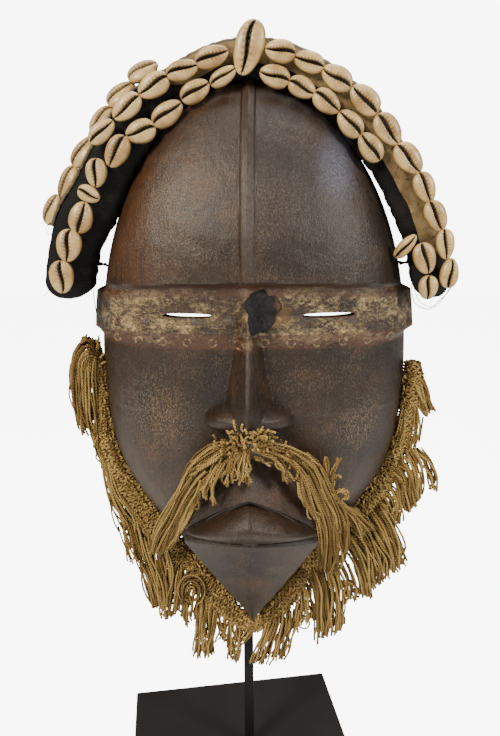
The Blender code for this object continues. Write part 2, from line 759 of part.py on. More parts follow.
def build_moustache(home):
    """The cord moustache: it covers the upper lip and falls on both sides."""
    right = MOUSTACHE
    left = [(-across, up, forward, half) for across, up, forward, half in right[:0:-1]]
    line = left + right
    marks = list(range(len(line)))
    spans = 24
    spots = []
    for i in range(spans + 1):
        at = i * (len(line) - 1) / spans
        spots.append([float(along(list(zip(marks, column)), at)) for column in zip(*line)])
    thick = MOUSTACHE_THICKNESS / UNIT_FORWARD / 2
    sections = []
    for i, (across, up, forward, half) in enumerate(spots):
        before, after = spots[max(i - 1, 0)], spots[min(i + 1, spans)]
        way = Vector((after[0] - before[0], after[1] - before[1])).normalized()
        side = Vector((-way.y, way.x))
        turns = [math.pi * 2 * k / 8 for k in range(8)]
        reaches = [half * math.cos(t) for t in turns]
        ring = [(across + side.x * reach, up + side.y * reach) for reach in reaches]
        forward = max([forward] + [wood_depth(*spot) + thick + 2.8 for spot in ring])
        lifts = [forward + thick * math.sin(t) for t in turns]
        sections.append([place(x, lift, z) for (x, z), lift in zip(ring, lifts)])
    add_object("moustache", loft(sections, "moustache"), "cord", home)


# Stand

def build_base(home, cutters):
    """The black block, turned a little under the mask, with the post's socket."""
    work = bmesh.new()
    bmesh.ops.create_cube(work, size=1)
    bmesh.ops.scale(work, vec=(BASE_WIDTH, BASE_DEPTH, BASE_THICKNESS), verts=work.verts)
    base = add_object("stand_base", mesh_from(work, "stand_base"), "black_base", home, smooth=False)
    base.location.z = BASE_THICKNESS / 2
    base.rotation_euler.z = math.radians(BASE_TURN)
    edge = base.modifiers.new("edge", "BEVEL")
    edge.width = BASE_EDGE
    edge.segments = 2
    work = bmesh.new()
    bmesh.ops.create_cube(work, size=1)
    side = POST_SIDE + CLEARANCE * 2
    bmesh.ops.scale(work, vec=(side, side, SOCKET_DEPTH * 2), verts=work.verts)
    socket = add_object("socket_cutter", mesh_from(work, "socket"), None, cutters, smooth=False)
    socket.location = (POST_ASIDE, 0, BASE_THICKNESS)
    cut(base, socket)


def hook_height():
    """Where the hook's end meets the roof of the hollow, less the clearance."""
    reach = HOOK_REACH + POST_SIDE / 2 + RIM_Y + CLEARANCE * 2
    beside_post = 0.3
    low, high = float(FOREHEAD), float(TOP)
    for _ in range(40):
        middle = (low + high) / 2
        deep_enough = RIM_Y - hollow_point(beside_post, middle)[1] > reach
        low, high = (middle, high) if deep_enough else (low, middle)
    return hollow_point(beside_post, low)[2] - HOOK_ROOM


def build_post(home):
    """The square bar: up behind the chin, then forward under the mask's top."""
    half = POST_SIDE / 2
    foot = BASE_THICKNESS - SOCKET_DEPTH + CLEARANCE
    top = hook_height()
    bend = top - HOOK_LIP - HOOK_RISE
    mitre = math.tan(math.atan2(HOOK_REACH, HOOK_RISE) / 2) * half
    sections = []
    for forward, height, tilt in (
        (0, foot, 0),
        (0, bend, mitre),
        (HOOK_REACH, bend + HOOK_RISE, mitre),
        (HOOK_REACH, top, 0),
    ):
        front, rear = -forward - half, -forward + half
        left, right = POST_ASIDE - half, POST_ASIDE + half
        sections.append(
            [
                (left, front, height - tilt),
                (right, front, height - tilt),
                (right, rear, height + tilt),
                (left, rear, height + tilt),
            ]
        )
    post = loft(sections, "stand_post")
    add_object("stand_post", post, "black_steel", home, smooth=False)


def build():
    clear_scene()
    home = collection("Dan mask on stand")
    cutters = collection("Cutters")
    build_mask(home, cutters)
    build_resin(home)
    build_headdress(home)
    build_shells(home)
    build_lashings(home)
    build_braid(home)
    build_fringe(home, "left")
    build_fringe(home, "right")
    build_moustache(home)
    build_base(home, cutters)
    build_post(home)


build()
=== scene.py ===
import math
import random

import bmesh
import bpy
import numpy as np
from mathutils import Euler, Matrix, Vector


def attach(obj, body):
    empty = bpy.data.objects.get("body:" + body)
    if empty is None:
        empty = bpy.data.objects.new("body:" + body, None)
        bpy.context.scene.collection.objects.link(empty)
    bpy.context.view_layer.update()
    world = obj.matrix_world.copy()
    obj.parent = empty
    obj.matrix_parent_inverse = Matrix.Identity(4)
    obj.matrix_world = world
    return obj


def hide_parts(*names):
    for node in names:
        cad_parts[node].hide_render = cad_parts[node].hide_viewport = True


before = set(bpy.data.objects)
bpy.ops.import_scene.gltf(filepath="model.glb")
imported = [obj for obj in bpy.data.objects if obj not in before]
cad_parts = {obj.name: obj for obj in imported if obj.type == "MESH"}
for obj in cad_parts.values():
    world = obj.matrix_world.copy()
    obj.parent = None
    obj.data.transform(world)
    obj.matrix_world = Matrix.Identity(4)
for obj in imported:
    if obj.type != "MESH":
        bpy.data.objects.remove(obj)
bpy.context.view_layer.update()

mm = 0.001

# Camera, and how a point of the photograph becomes a place in the scene

camera = {
    "place": (0.0250, -0.3629, 0.374),
    "tilt": 77.0,
    "turn": 2.6,
    "roll": -0.5,
    "focal": 623,
    "picture": (500, 736),
    "sensor": 36,
}


def cameraMatrix():
    turned = Euler((math.radians(camera["tilt"]), 0, math.radians(camera["turn"])))
    rolled = Matrix.Rotation(math.radians(camera["roll"]), 4, "Z")
    return Matrix.Translation(camera["place"]) @ turned.to_matrix().to_4x4() @ rolled


def addCamera():
    data = bpy.data.cameras.new("Camera")
    data.sensor_width = camera["sensor"]
    data.lens = camera["sensor"] * camera["focal"] / camera["picture"][1]
    data.clip_start = 0.01
    thing = bpy.data.objects.new("Camera", data)
    bpy.context.scene.collection.objects.link(thing)
    thing.matrix_world = cameraMatrix()
    bpy.context.scene.camera = thing


# The carving's sizes, in millimetres up from the chin and across from the middle

mask = {
    "aside": 10.4 * mm,
    "rim": -3.3 * mm,
    "chin": 137 * mm,
    "top": 313,
    "widest": 150,
    "halfWidth": 88,
    "edge": 12,
    "archLevel": 200,
    "brow": 208,
    "slit": 192,
    "slits": ((-44, -18.5), (27, 54)),
    "slitHalf": 1.3,
    "bandFoot": 177,
    "mouthHalf": 37,
    "wall": 9,
    "columns": 281,
    "rows": 301,
    "crown": (2.5, 1.65),
    "jaw": {"half": 50.5, "level": 59, "power": 1.03, "blend": 7.0},
    "ear": {"width": 5, "depth": 17, "ease": 3},
    "faceDepths": [(0, 20), (20, 30), (45, 39), (75, 45), (110, 50), (150, 52.5), (177, 52), (205, 52)],
    "forehead": {"depth": 58, "turns": 215, "power": 1.8},
    "browSag": 4,
    "browStep": 1.4,
    "noseFoot": 134,
    "noseRise": [(134, 22), (148, 26), (156, 24), (168, 18), (182, 11), (200, 5), (210, 0)],
    "noseHalf": [(134, 14), (150, 12), (160, 10), (180, 7), (210, 5.5)],
    "wing": {"half": 22.5, "level": 140, "drop": 1.5, "tall": 8.5, "thins": 4.5, "stands": 17},
    "upperLip": 98,
    "lowerLip": 72,
    "mouthDrops": [(58, 0), (72, 8), (98, 28), (132, 0)],
}


def pictureSpot(x, y, forward):
    # The place seen at a point of the photograph, so many millimetres before the rim
    width, height = camera["picture"]
    lay = cameraMatrix()
    sight = Vector((x - width / 2, height / 2 - y, -camera["focal"]))
    way = lay.to_3x3() @ sight
    start = lay.translation
    reach = (mask["rim"] - forward * mm - start.y) / way.y
    return start + way * reach


def along(points, at):
    # A smooth curve through the points that never overshoots them
    xs, ys = np.array(points, float).T
    at = np.asarray(at, float)
    gaps = np.diff(xs)
    slopes = np.diff(ys) / gaps
    tangents = np.zeros(len(xs))
    tangents[0], tangents[-1] = slopes[0], slopes[-1]
    before, after = slopes[:-1], slopes[1:]
    rising = before * after > 0
    inner = np.zeros(len(before))
    inner[rising] = 2 * before[rising] * after[rising] / (before + after)[rising]
    tangents[1:-1] = inner
    i = np.clip(np.searchsorted(xs, at) - 1, 0, len(gaps) - 1)
    t = np.clip((at - xs[i]) / gaps[i], 0, 1)
    rise = (3 - 2 * t) * t * t
    lead = t * (1 - t) ** 2 * tangents[i] * gaps[i]
    tail = t * t * (t - 1) * tangents[i + 1] * gaps[i]
    return ys[i] + (ys[i + 1] - ys[i]) * rise + lead + tail


def step(low, high, at):
    t = np.clip((np.asarray(at, float) - low) / (high - low), 0, 1)
    return t * t * (3 - 2 * t)


def larger(a, b, soften=2.0):
    return (a + b + np.sqrt((a - b) ** 2 + soften**2)) / 2 - soften / 4


def plainHalfWidth(up):
    # A round crown over a jaw that narrows to the chin, without the ears
    up = np.asarray(up, float)
    widest, jaw = mask["widest"], mask["jaw"]
    bend, rounding = mask["crown"]
    above = np.clip((up - widest) / (mask["top"] - widest), 0, 1)
    upper = mask["halfWidth"] * np.clip(1 - above**bend, 0, 1) ** (1 / rounding)
    line = jaw["half"] * np.maximum(up / jaw["level"], 0.001) ** jaw["power"]
    blend = jaw["blend"]
    lower = (line**-blend + (mask["halfWidth"] + 0.5) ** -blend) ** (-1 / blend)
    return np.where(up > widest, upper, lower)


def ear(up):
    # How far the ears stand out beside the eye band
    foot, top = mask["bandFoot"], mask["brow"] - mask["browSag"]
    width, ease = mask["ear"]["width"], mask["ear"]["ease"]
    return width * step(foot, foot + ease, up) * (1 - step(top - ease, top, up))


def halfWidth(up):
    return plainHalfWidth(up) + ear(up)


def dome(s, up, across):
    # The plain swell of face and forehead, with the step of the brow and the flat ears
    above, ledge = mask["forehead"], mask["browStep"]
    closing = np.clip((up - above["turns"]) / (mask["top"] - above["turns"]), 0, 1)
    forehead = above["depth"] * np.sqrt(np.clip(1 - closing ** above["power"], 0, 1))
    face = along(mask["faceDepths"], up)
    brow = mask["brow"] - mask["browSag"] * (across / mask["halfWidth"]) ** 2
    height = face + (forehead - face) * step(brow - ledge, brow + ledge, up)
    inner = np.clip(np.abs(across) / np.maximum(plainHalfWidth(up), 0.01), 0, 1)
    edge = np.minimum(mask["edge"], height * 0.5)
    rounded = edge + (height - edge) * np.sqrt(np.clip(1 - inner**2.2, 0, 1))
    beside = ear(up)
    flatEar = mask["ear"]["depth"] * (1 - np.clip(np.abs(s), 0, 1) ** 60)
    flatEar = flatEar * np.clip(beside / mask["ear"]["width"], 0, 1)
    return np.where(beside > 0.01, np.maximum(rounded, flatEar), rounded)


def nose(across, up):
    # A broad bridge over two flat-bottomed wings, with creases beside them
    foot = step(mask["noseFoot"] - 1.5, mask["noseFoot"] + 1.5, up)
    share = np.clip(np.abs(across) / along(mask["noseHalf"], up), 0, 1)
    bridge = along(mask["noseRise"], up) * (1 - share**1.4)
    sizes = mask["wing"]
    beside = np.clip(np.abs(across) / sizes["half"], 0, 1) ** 2
    level = sizes["level"] - sizes["drop"] * beside
    reach = ((up - level) / (sizes["tall"] - sizes["thins"] * beside)) ** 2
    wing = sizes["stands"] * np.sqrt(np.clip(1 - beside, 0, 1) * np.clip(1 - reach, 0, 1))
    return np.maximum(larger(bridge, wing, 1.5) - 0.4, 0) * foot


def foreheadRidge(across, up):
    width = np.abs(across)
    strip = 1.0 * (1 - step(3.0, 3.9, width)) + 1.5 * np.clip(1 - width / 3.4, 0, 1)
    return strip * step(mask["brow"] - 3, mask["brow"] + 2, up)


def lipEdge(across):
    return mask["upperLip"] - 28 * np.clip(np.abs(across) / mask["mouthHalf"], 0, 1.2) ** 1.3


def lipFoot(across):
    return mask["lowerLip"] - 4 * np.clip(np.abs(across) / mask["mouthHalf"], 0, 1.2) ** 1.5


def muzzle(across, up):
    # Upper lip with a dark gap under it, the rolled lower lip, and the pointed chin
    mouthHalf, lowerLip = mask["mouthHalf"], mask["lowerLip"]
    side = np.clip(np.abs(across) / mouthHalf, 0, 1.3)
    fade = np.clip(1 - side**2, 0, 1)
    edge, foot = lipEdge(across), lipFoot(across)
    upper = 66 - 24 * side**1.3 - 0.45 * (up - edge)
    recess = 59 - 19 * side**1.6
    rollTop = edge - 3.5 * fade
    share = np.clip((up - foot) / np.maximum(rollTop - foot, 0.5), 0, 1)
    lower = recess + 12 * np.sqrt(fade) * np.sin(math.pi * share) ** 0.7
    chinHalf = np.clip(0.58 * up, 0.5, mouthHalf)
    outside = np.maximum(np.abs(across) - chinHalf, 0)
    lean = np.clip(np.abs(across) / chinHalf, 0, 1) ** 1.5
    chin = 26 + 36 * (np.clip(up, 0, None) / lowerLip) ** 0.9
    chin = chin - (6 + 8 * np.clip(up, 0, None) / lowerLip) * lean - 2.5 * outside
    mouth = lower + (upper - lower) * step(edge - 0.5, edge + 0.5, up)
    mouth = chin + (mouth - chin) * step(foot - 2.6, foot + 1.6, up)
    return mouth - 2.0 * np.maximum(np.abs(across) - mouthHalf, 0)


def slitGroove(across, up):
    length = step(5, 12, np.abs(across)) * (1 - step(56, 66, np.abs(across)))
    return 1.6 * length * np.clip(1 - np.abs(up - mask["slit"]) / 4, 0, 1)


def carving(s, up):
    # How far the carved front stands before the rim, at a share s of the half width
    across = s * halfWidth(up)
    surface = dome(s, up, across)
    lower = up < mask["noseFoot"] + 6
    surface = np.where(lower, larger(surface, muzzle(across, up)), surface)
    surface = surface + nose(across, up) + foreheadRidge(across, up) - slitGroove(across, up)
    return surface * np.sqrt(np.clip(1 - np.abs(s) ** 10, 0, 1))


def mouthWarp(across, up):
    # How far the grid's rows are drawn down so that they follow the lips
    mouthHalf, drops = mask["mouthHalf"], mask["mouthDrops"]
    side = np.clip(np.abs(across) / mouthHalf, 0, 1)
    fade = 1 - step(mouthHalf, mouthHalf + 30, np.abs(across))
    drop = np.where((up > drops[0][0]) & (up < drops[-1][0]), along(drops, up), 0)
    return drop * side**1.3 * fade


def place(across, forward, up):
    # Millimetres across, forward and up as places in the scene, one row for each
    across, forward, up = np.broadcast_arrays(across, forward, up)
    spots = [
        mask["aside"] + across * mm,
        mask["rim"] - forward * mm,
        mask["chin"] + up * mm,
    ]
    return np.stack(spots, -1)


def woodDepth(across, up):
    # The front's depth at points given across and up, 0 outside the outline
    width = np.maximum(halfWidth(np.clip(up, 0, mask["top"])), 0.01)
    inside = (up > 0) & (up < mask["top"]) & (np.abs(across) < width)
    return np.where(inside, carving(np.clip(across / width, -1, 1), up), 0)


# Working with objects

def deselect():
    for thing in list(bpy.context.selected_objects):
        thing.select_set(False)


def select(thing):
    deselect()
    thing.select_set(True)
    bpy.context.view_layer.objects.active = thing


def finishPiece(thing, look, slot, *nodes):
    # Gives a piece its material, and puts it on the frame for its CAD nodes
    thing.data.materials.clear()
    for each in look if isinstance(look, (list, tuple)) else [look]:
        thing.data.materials.append(each)
    if nodes:
        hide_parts(*nodes)
    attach(thing, "root")
    return thing


def setPlaces(mesh, spots):
    mesh.vertices.foreach_set("co", np.asarray(spots, np.float32).ravel())
    mesh.update()


def addGrid(name, columns, rows):
    # A flat grid, with each vertex's column and row
    deselect()
    bpy.ops.mesh.primitive_grid_add(x_subdivisions=columns - 1, y_subdivisions=rows - 1, size=1)
    thing = bpy.context.object
    thing.name = name
    flat = np.zeros(len(thing.data.vertices) * 3, np.float32)
    thing.data.vertices.foreach_get("co", flat)
    flat = flat.reshape(-1, 3)
    column = np.rint((flat[:, 0] + 0.5) * (columns - 1)).astype(int)
    row = np.rint((flat[:, 1] + 0.5) * (rows - 1)).astype(int)
    return thing, column, row


def smooth(thing, degrees=40):
    select(thing)
    bpy.ops.object.shade_smooth_by_angle(angle=math.radians(degrees))


def mergeAndTurnOut(thing, distance=0.00001):
    # Merges doubles and points the faces of a closed shape outwards
    work = bmesh.new()
    work.from_mesh(thing.data)
    bmesh.ops.remove_doubles(work, verts=work.verts, dist=distance)
    bmesh.ops.recalc_face_normals(work, faces=work.faces)
    if work.calc_volume(signed=True) < 0:
        bmesh.ops.reverse_faces(work, faces=work.faces)
    work.to_mesh(thing.data)
    work.free()


def closeRim(thing, back=0.0):
    # Closes a grid's open rim with a flat face, after drawing it back
    work = bmesh.new()
    work.from_mesh(thing.data)
    bmesh.ops.remove_doubles(work, verts=work.verts, dist=0.00001)
    rim = [edge for edge in work.edges if edge.is_boundary]
    if back:
        grown = bmesh.ops.extrude_edge_only(work, edges=rim)["geom"]
        for vert in [part for part in grown if isinstance(part, bmesh.types.BMVert)]:
            vert.co.y += back
        rim = [edge for edge in work.edges if edge.is_boundary]
    bmesh.ops.holes_fill(work, edges=rim, sides=0)
    work.to_mesh(thing.data)
    work.free()
    mergeAndTurnOut(thing)


def wrapTube(name, rings):
    # A closed tube through rings of places: an array of rings by points by 3
    rings = np.asarray(rings, float)
    count, around = rings.shape[:2]
    thing, column, row = addGrid(name, around + 1, count)
    setPlaces(thing.data, rings[row, column % around])
    closeRim(thing)
    return thing


def addLines(name, lines, thickness, dice, sides=6):
    # Many thin cords as one mesh. Each line is its places and their relative thickness
    rings, quads, caps, maps, tones = [], [], [], [], []
    turns = np.arange(sides) * 2 * math.pi / sides
    start = 0
    for spots, widths in lines:
        spots = np.asarray(spots, float)
        count = len(spots)
        way = np.gradient(spots, axis=0)
        way /= np.maximum(np.linalg.norm(way, axis=1, keepdims=True), 1e-9)
        aside = np.eye(3)[np.argmin(np.abs(way).max(0))]
        side = np.cross(way, aside)
        side /= np.maximum(np.linalg.norm(side, axis=1, keepdims=True), 1e-9)
        other = np.cross(way, side)
        half = np.broadcast_to(widths, count)[:, None, None] * thickness / 2
        around = side[:, None] * np.cos(turns)[:, None] + other[:, None] * np.sin(turns)[:, None]
        rings.append((spots[:, None] + half * around).reshape(-1, 3))
        i, k = np.meshgrid(np.arange(count - 1), np.arange(sides), indexing="ij")
        i, k = i.ravel(), k.ravel()
        after = (k + 1) % sides
        quads.append(start + np.stack([i * sides + k, i * sides + after,
                                       (i + 1) * sides + after, (i + 1) * sides + k], 1))
        caps.append(start + np.arange(sides)[::-1])
        caps.append(start + (count - 1) * sides + np.arange(sides))
        steps = np.linalg.norm(np.diff(spots, axis=0), axis=1) / mm
        reach = np.concatenate([[0], np.cumsum(steps)])
        u = np.stack([k, k + 1, k + 1, k], 1) / sides
        v = np.stack([reach[i], reach[i], reach[i + 1], reach[i + 1]], 1)
        maps.append(np.stack([u, v], 2).reshape(-1, 2))
        tones.append(np.full(count * sides, dice.random()))
        start += count * sides
    mesh = bpy.data.meshes.new(name)
    faces = np.concatenate(quads).tolist() + [cap.tolist() for cap in caps]
    mesh.from_pydata(np.concatenate(rings).tolist(), [], faces)
    layer = mesh.uv_layers.new(name="UVMap")
    capCorners = np.zeros((len(caps) * sides, 2))
    flat = np.concatenate(maps + [capCorners]).astype(np.float32)
    layer.data.foreach_set("uv", flat.ravel())
    tone = mesh.attributes.new("tone", "FLOAT", "POINT")
    tone.data.foreach_set("value", np.concatenate(tones).astype(np.float32))
    mesh.update()
    thing = bpy.data.objects.new(name, mesh)
    bpy.context.scene.collection.objects.link(thing)
    mesh.shade_smooth()
    return thing


def smoothLine(spots, count):
    # Evenly spread places on a smooth curve through the given ones
    spots = np.asarray(spots, float)
    gaps = np.maximum(np.linalg.norm(np.diff(spots, axis=0), axis=1), 1e-7)
    marks = np.concatenate([[0], np.cumsum(gaps)])
    slopes = np.gradient(spots, marks, axis=0)
    at = np.linspace(0, marks[-1], count)
    i = np.clip(np.searchsorted(marks, at) - 1, 0, len(gaps) - 1)
    t = ((at - marks[i]) / gaps[i])[:, None]
    gap = gaps[i][:, None]
    first, second = spots[i], spots[i + 1]
    rise = (3 - 2 * t) * t * t
    bend = t * (1 - t) ** 2 * slopes[i] * gap + t * t * (t - 1) * slopes[i + 1] * gap
    return first + (second - first) * rise + bend


# Materials: a number or colour worked out by nodes can be used in sums

def paint(red, green, blue):
    # A colour of the photograph, 0 to 255, as the linear colour that nodes use
    made = []
    for value in (red, green, blue):
        share = value / 255
        made.append(share / 12.92 if share <= 0.04045 else ((share + 0.055) / 1.055) ** 2.4)
    return (*made, 1)


class Worked:
    def __init__(self, look, socket):
        self.look = look
        self.socket = socket

    def sum(self, operation, *values):
        inputs = dict(enumerate(values))
        return self.look.make("Math", inputs, operation=operation)

    def __add__(self, other):
        return self.sum("ADD", self, other)

    def __radd__(self, other):
        return self.sum("ADD", other, self)

    def __sub__(self, other):
        return self.sum("SUBTRACT", self, other)

    def __rsub__(self, other):
        return self.sum("SUBTRACT", other, self)

    def __mul__(self, other):
        return self.sum("MULTIPLY", self, other)

    def __rmul__(self, other):
        return self.sum("MULTIPLY", other, self)

    def __truediv__(self, other):
        return self.sum("DIVIDE", self, other)

    def size(self):
        return self.sum("ABSOLUTE", self)

    def root(self):
        return self.sum("SQRT", self)

    def wave(self):
        return self.sum("SINE", self)

    def least(self, other):
        return self.sum("MINIMUM", self, other)

    def between(self, low, high):
        # 0 below low and 1 above high, with a soft rise between
        inputs = {"Value": self, "From Min": low, "From Max": high}
        return self.look.make("MapRange", inputs, interpolation_type="SMOOTHSTEP")

    def near(self, middle, half, soft):
        # 1 within half of the middle, and 0 further than half and soft away
        return 1 - (self - middle).size().between(half, half + soft)


class Look:
    def __init__(self, name):
        self.material = bpy.data.materials.new(name)
        self.material.use_nodes = True
        self.tree = self.material.node_tree
        self.shader = self.tree.nodes["Principled BSDF"]

    def feed(self, socket, value):
        if isinstance(value, Worked):
            self.tree.links.new(value.socket, socket)
        else:
            socket.default_value = value

    def make(self, kind, inputs, output=0, **settings):
        node = self.tree.nodes.new("ShaderNode" + kind)
        for key, value in settings.items():
            setattr(node, key, value)
        for key, value in inputs.items():
            self.feed(node.inputs[key], value)
        return Worked(self, node.outputs[output])

    def spot(self):
        return self.make("TexCoord", {}, output="Object")

    def axis(self, vector, name):
        return self.make("SeparateXYZ", {"Vector": vector}, output=name)

    def scaled(self, vector, factors):
        return self.make("VectorMath", {0: vector, 1: factors}, operation="MULTIPLY")

    def noise(self, vector, scale, detail=3, roughness=0.55, twist=0.0):
        inputs = {
            "Vector": vector,
            "Scale": scale,
            "Detail": detail,
            "Roughness": roughness,
            "Distortion": twist,
        }
        return self.make("TexNoise", inputs)

    def cells(self, vector, scale, feature="F1"):
        return self.make("TexVoronoi", {"Vector": vector, "Scale": scale}, feature=feature)

    def mix(self, factor, first, second, blend="MIX"):
        inputs = {0: factor, 6: first, 7: second}
        return self.make("Mix", inputs, output=2, data_type="RGBA", blend_type=blend)

    def bump(self, height, distance, strength=1.0):
        inputs = {"Height": height, "Distance": distance, "Strength": strength}
        return self.make("Bump", inputs, output="Normal")

    def finish(self, colour, roughness, normal=None, **constants):
        self.feed(self.shader.inputs["Base Color"], colour)
        self.feed(self.shader.inputs["Roughness"], roughness)
        if normal is not None:
            self.feed(self.shader.inputs["Normal"], normal)
        for key, value in constants.items():
            self.shader.inputs[key.replace("_", " ")].default_value = value
        return self.material


wood = {
    "dark": paint(18, 11, 6),
    "middle": paint(46, 28, 15),
    # a warm tone, also used for the painted warm light on the left forehead
    "warm": paint(68, 38, 16),
    # the painted cool shade on the right forehead
    "cool": paint(27, 21, 22),
    # pale dust in the pores, also the colour of the painted highlights
    "dust": paint(132, 112, 86),
    # the colour of the painted bluish highlight
    "blue": paint(104, 108, 128),
    "kaolin": paint(174, 150, 106),
    "redBorder": paint(78, 47, 30),
    "stain": paint(96, 66, 32),
    "stainPlace": (15.5 * mm, 192.5 * mm),
    "ringSpacing": 13.2 * mm,
    "ringRadius": 1.9 * mm,
    # painted highlights of pale dust on the forehead, cheeks and chin: soft ovals given across, up, wide
    # and tall in millimetres, and a strength
    "dustAndHighlight": [
        (-37, 247, 26, 28, 1),
        (-52, 138, 30, 30, 0.9),
        (58, 133, 19, 20, 1.1),
        (14, 50, 10, 5, 0.8),
    ],
    # painted bluish highlight on the right forehead: across, up, wide and tall in millimetres
    "bluishHighlight": (44, 266, 15, 26),
}


def oval(x, z, across, up, wide, tall):
    # 1 in the middle of a soft oval on the front, 0 outside it
    sideways, upwards = (x - across * mm) / (wide * mm), (z - up * mm) / (tall * mm)
    return 1 - (sideways * sideways + upwards * upwards).root().between(0.1, 1)


def oiledColour(look, x, z, cloud, grain, fine):
    # Dark oiled wood with dust in its pores, painted warm light on the left forehead, painted cool shade on
    # the right, painted shade at the sides, and pale dust patches painted as highlights on the bulges
    broad = look.noise(look.spot(), 14, 3)
    colour = look.mix(broad.between(0.38, 0.62), wood["dark"], wood["middle"])
    colour = look.mix(cloud.between(0.52, 0.7) * 0.5, colour, wood["warm"])
    # painted warm light on the left of the forehead
    edge = (x + 0.066).size().between(0.012, 0.024)
    colour = look.mix((1 - edge) * z.between(0.205, 0.212) * 0.7, colour, wood["warm"])
    # painted cool shade on the right of the forehead
    right = x.between(-0.002, 0.012) * z.between(0.203, 0.215)
    colour = look.mix(right * 0.7, colour, wood["cool"])
    colour = look.mix(grain.between(0.42, 0.66) * 0.6, colour, wood["dark"])
    # painted shade, darker towards the sides where the face turns away from the light
    sides = x.size().between(0.055, 0.09)
    colour = look.mix(sides * 0.55, colour, wood["dark"])
    # dust in the pores, more of it in soft ovals that are painted highlights on the bulges
    dustAndHighlight = 0.22 + cloud.between(0.4, 0.62) * 0.35
    for across, up, wide, tall, strength in wood["dustAndHighlight"]:
        dustAndHighlight = dustAndHighlight + oval(x, z, across, up, wide, tall) * strength
    speck = fine.between(0.47, 0.66) * dustAndHighlight
    colour = look.mix((speck * 0.42).least(0.75), colour, wood["dust"])
    # painted bluish highlight on the right forehead
    sheen = oval(x, z, *wood["bluishHighlight"]) * (0.35 + fine.between(0.4, 0.62) * 0.65)
    return look.mix(sheen * 0.45, colour, wood["blue"]), speck


def paintBand(look, colour, x, z, cloud, fine):
    # Worn kaolin between two red-brown borders, ring marks along the lower one
    spot = look.spot()
    low, high = mask["bandFoot"] * mm, mask["brow"] * mm
    aside = x / (mask["halfWidth"] * mm)
    brow = mask["browSag"] * mm * aside * aside
    band = z.between(low - 0.001, low + 0.002) * (1 - (z + brow).between(high - 0.002, high - 0.0005))
    border = z.near(low + 0.002, 0.003, 0.0015) + (z + brow).near(high - 0.003, 0.002, 0.0015)
    flake = look.noise(look.scaled(spot, (1, 1, 1.9)), 330, 8, 0.8, 0.5)
    patches = look.noise(look.scaled(spot, (1, 1, 1.6)), 62, 4, 0.6)
    worn = (flake + cloud * 0.6).between(0.62, 0.86)
    colour = look.mix(border.least(1) * worn * 0.5, colour, wood["redBorder"])
    right, above = x - wood["stainPlace"][0], z - wood["stainPlace"][1]
    besideResin = (right * right + above * above).root()
    stain = 1 - (besideResin + flake * 0.004).between(0.005, 0.0095)
    colour = look.mix(stain * 0.6, colour, wood["stain"])
    cover = (flake + patches * 0.6).between(0.74, 0.96)
    kaolin = band * (1 - border.least(1) * 0.7) * cover * 0.9
    powder = fine.between(0.4, 0.62)
    colour = look.mix(kaolin * (0.55 + powder * 0.45), colour, wood["kaolin"])
    spacing, radius = wood["ringSpacing"], wood["ringRadius"]
    column = look.make("Math", {0: x + 0.5, 1: spacing}, operation="MODULO") - spacing / 2
    height = z - (low + 0.0016)
    distance = (column * column + height * height).root()
    ring = distance.near(radius, 0.0002, 0.0005) * flake.between(0.46, 0.6)
    return look.mix(ring * 0.55, colour, wood["kaolin"]), kaolin


def woodLook():
    look = Look("darkWood")
    spot = look.spot()
    x = look.axis(spot, "X") - mask["aside"]
    z = look.axis(spot, "Z") - mask["chin"]
    cloud = look.noise(spot, 38, 4, 0.6)
    grain = look.noise(look.scaled(spot, (420, 420, 16)), 1, 4, 0.6)
    fine = look.noise(look.scaled(spot, (1500, 1500, 900)), 1, 3, 0.65)
    colour, speck = oiledColour(look, x, z, cloud, grain, fine)
    colour, kaolin = paintBand(look, colour, x, z, cloud, fine)
    dents = look.noise(spot, 95, 3, 0.5)
    shine = 0.27 + cloud * 0.16 + grain * 0.1 + speck * 0.2 + kaolin * 0.4
    relief = dents * 1.6 + grain * 0.5 + fine * 0.7 + kaolin * 0.8
    normal = look.bump(relief, 0.0006, 0.7)
    return look.finish(colour, shine, normal, Specular_IOR_Level=0.42)


hollowPaint = {
    "wood": paint(70, 50, 36),
    "grain": paint(104, 78, 56),
    "strokes": paint(56, 40, 30),
}


def hollowLook():
    # The plain inside of the mask, with the strokes of the adze
    look = Look("bareWood")
    spot = look.spot()
    strokes = look.cells(look.scaled(spot, (95, 95, 42)), 1)
    grain = look.noise(look.scaled(spot, (380, 380, 18)), 1, 4, 0.6)
    colour = look.mix(grain.between(0.3, 0.7), hollowPaint["wood"], hollowPaint["grain"])
    colour = look.mix(strokes.between(0.3, 0.9) * 0.4, colour, hollowPaint["strokes"])
    normal = look.bump(strokes + grain * 0.3, 0.0012, 0.7)
    return look.finish(colour, 0.72, normal, Specular_IOR_Level=0.2)


resinPaint = {
    "resin": paint(8, 8, 9),
    "crust": paint(34, 32, 35),
    "stain": paint(84, 58, 30),
}


def resinLook():
    look = Look("resin")
    spot = look.spot()
    crust = look.noise(spot, 420, 5, 0.7)
    stain = look.axis(spot, "X").between(0.0225, 0.026)
    colour = look.mix(crust.between(0.4, 0.65), resinPaint["resin"], resinPaint["crust"])
    colour = look.mix(stain * crust.between(0.42, 0.55), colour, resinPaint["stain"])
    normal = look.bump(crust, 0.002)
    return look.finish(colour, 0.4 + crust * 0.3, normal, Specular_IOR_Level=0.3)


clothPaint = {
    "cloth": paint(13, 13, 14),
    "ribs": paint(31, 30, 30),
    "faded": paint(42, 39, 35),
    "dust": paint(110, 98, 80),
}


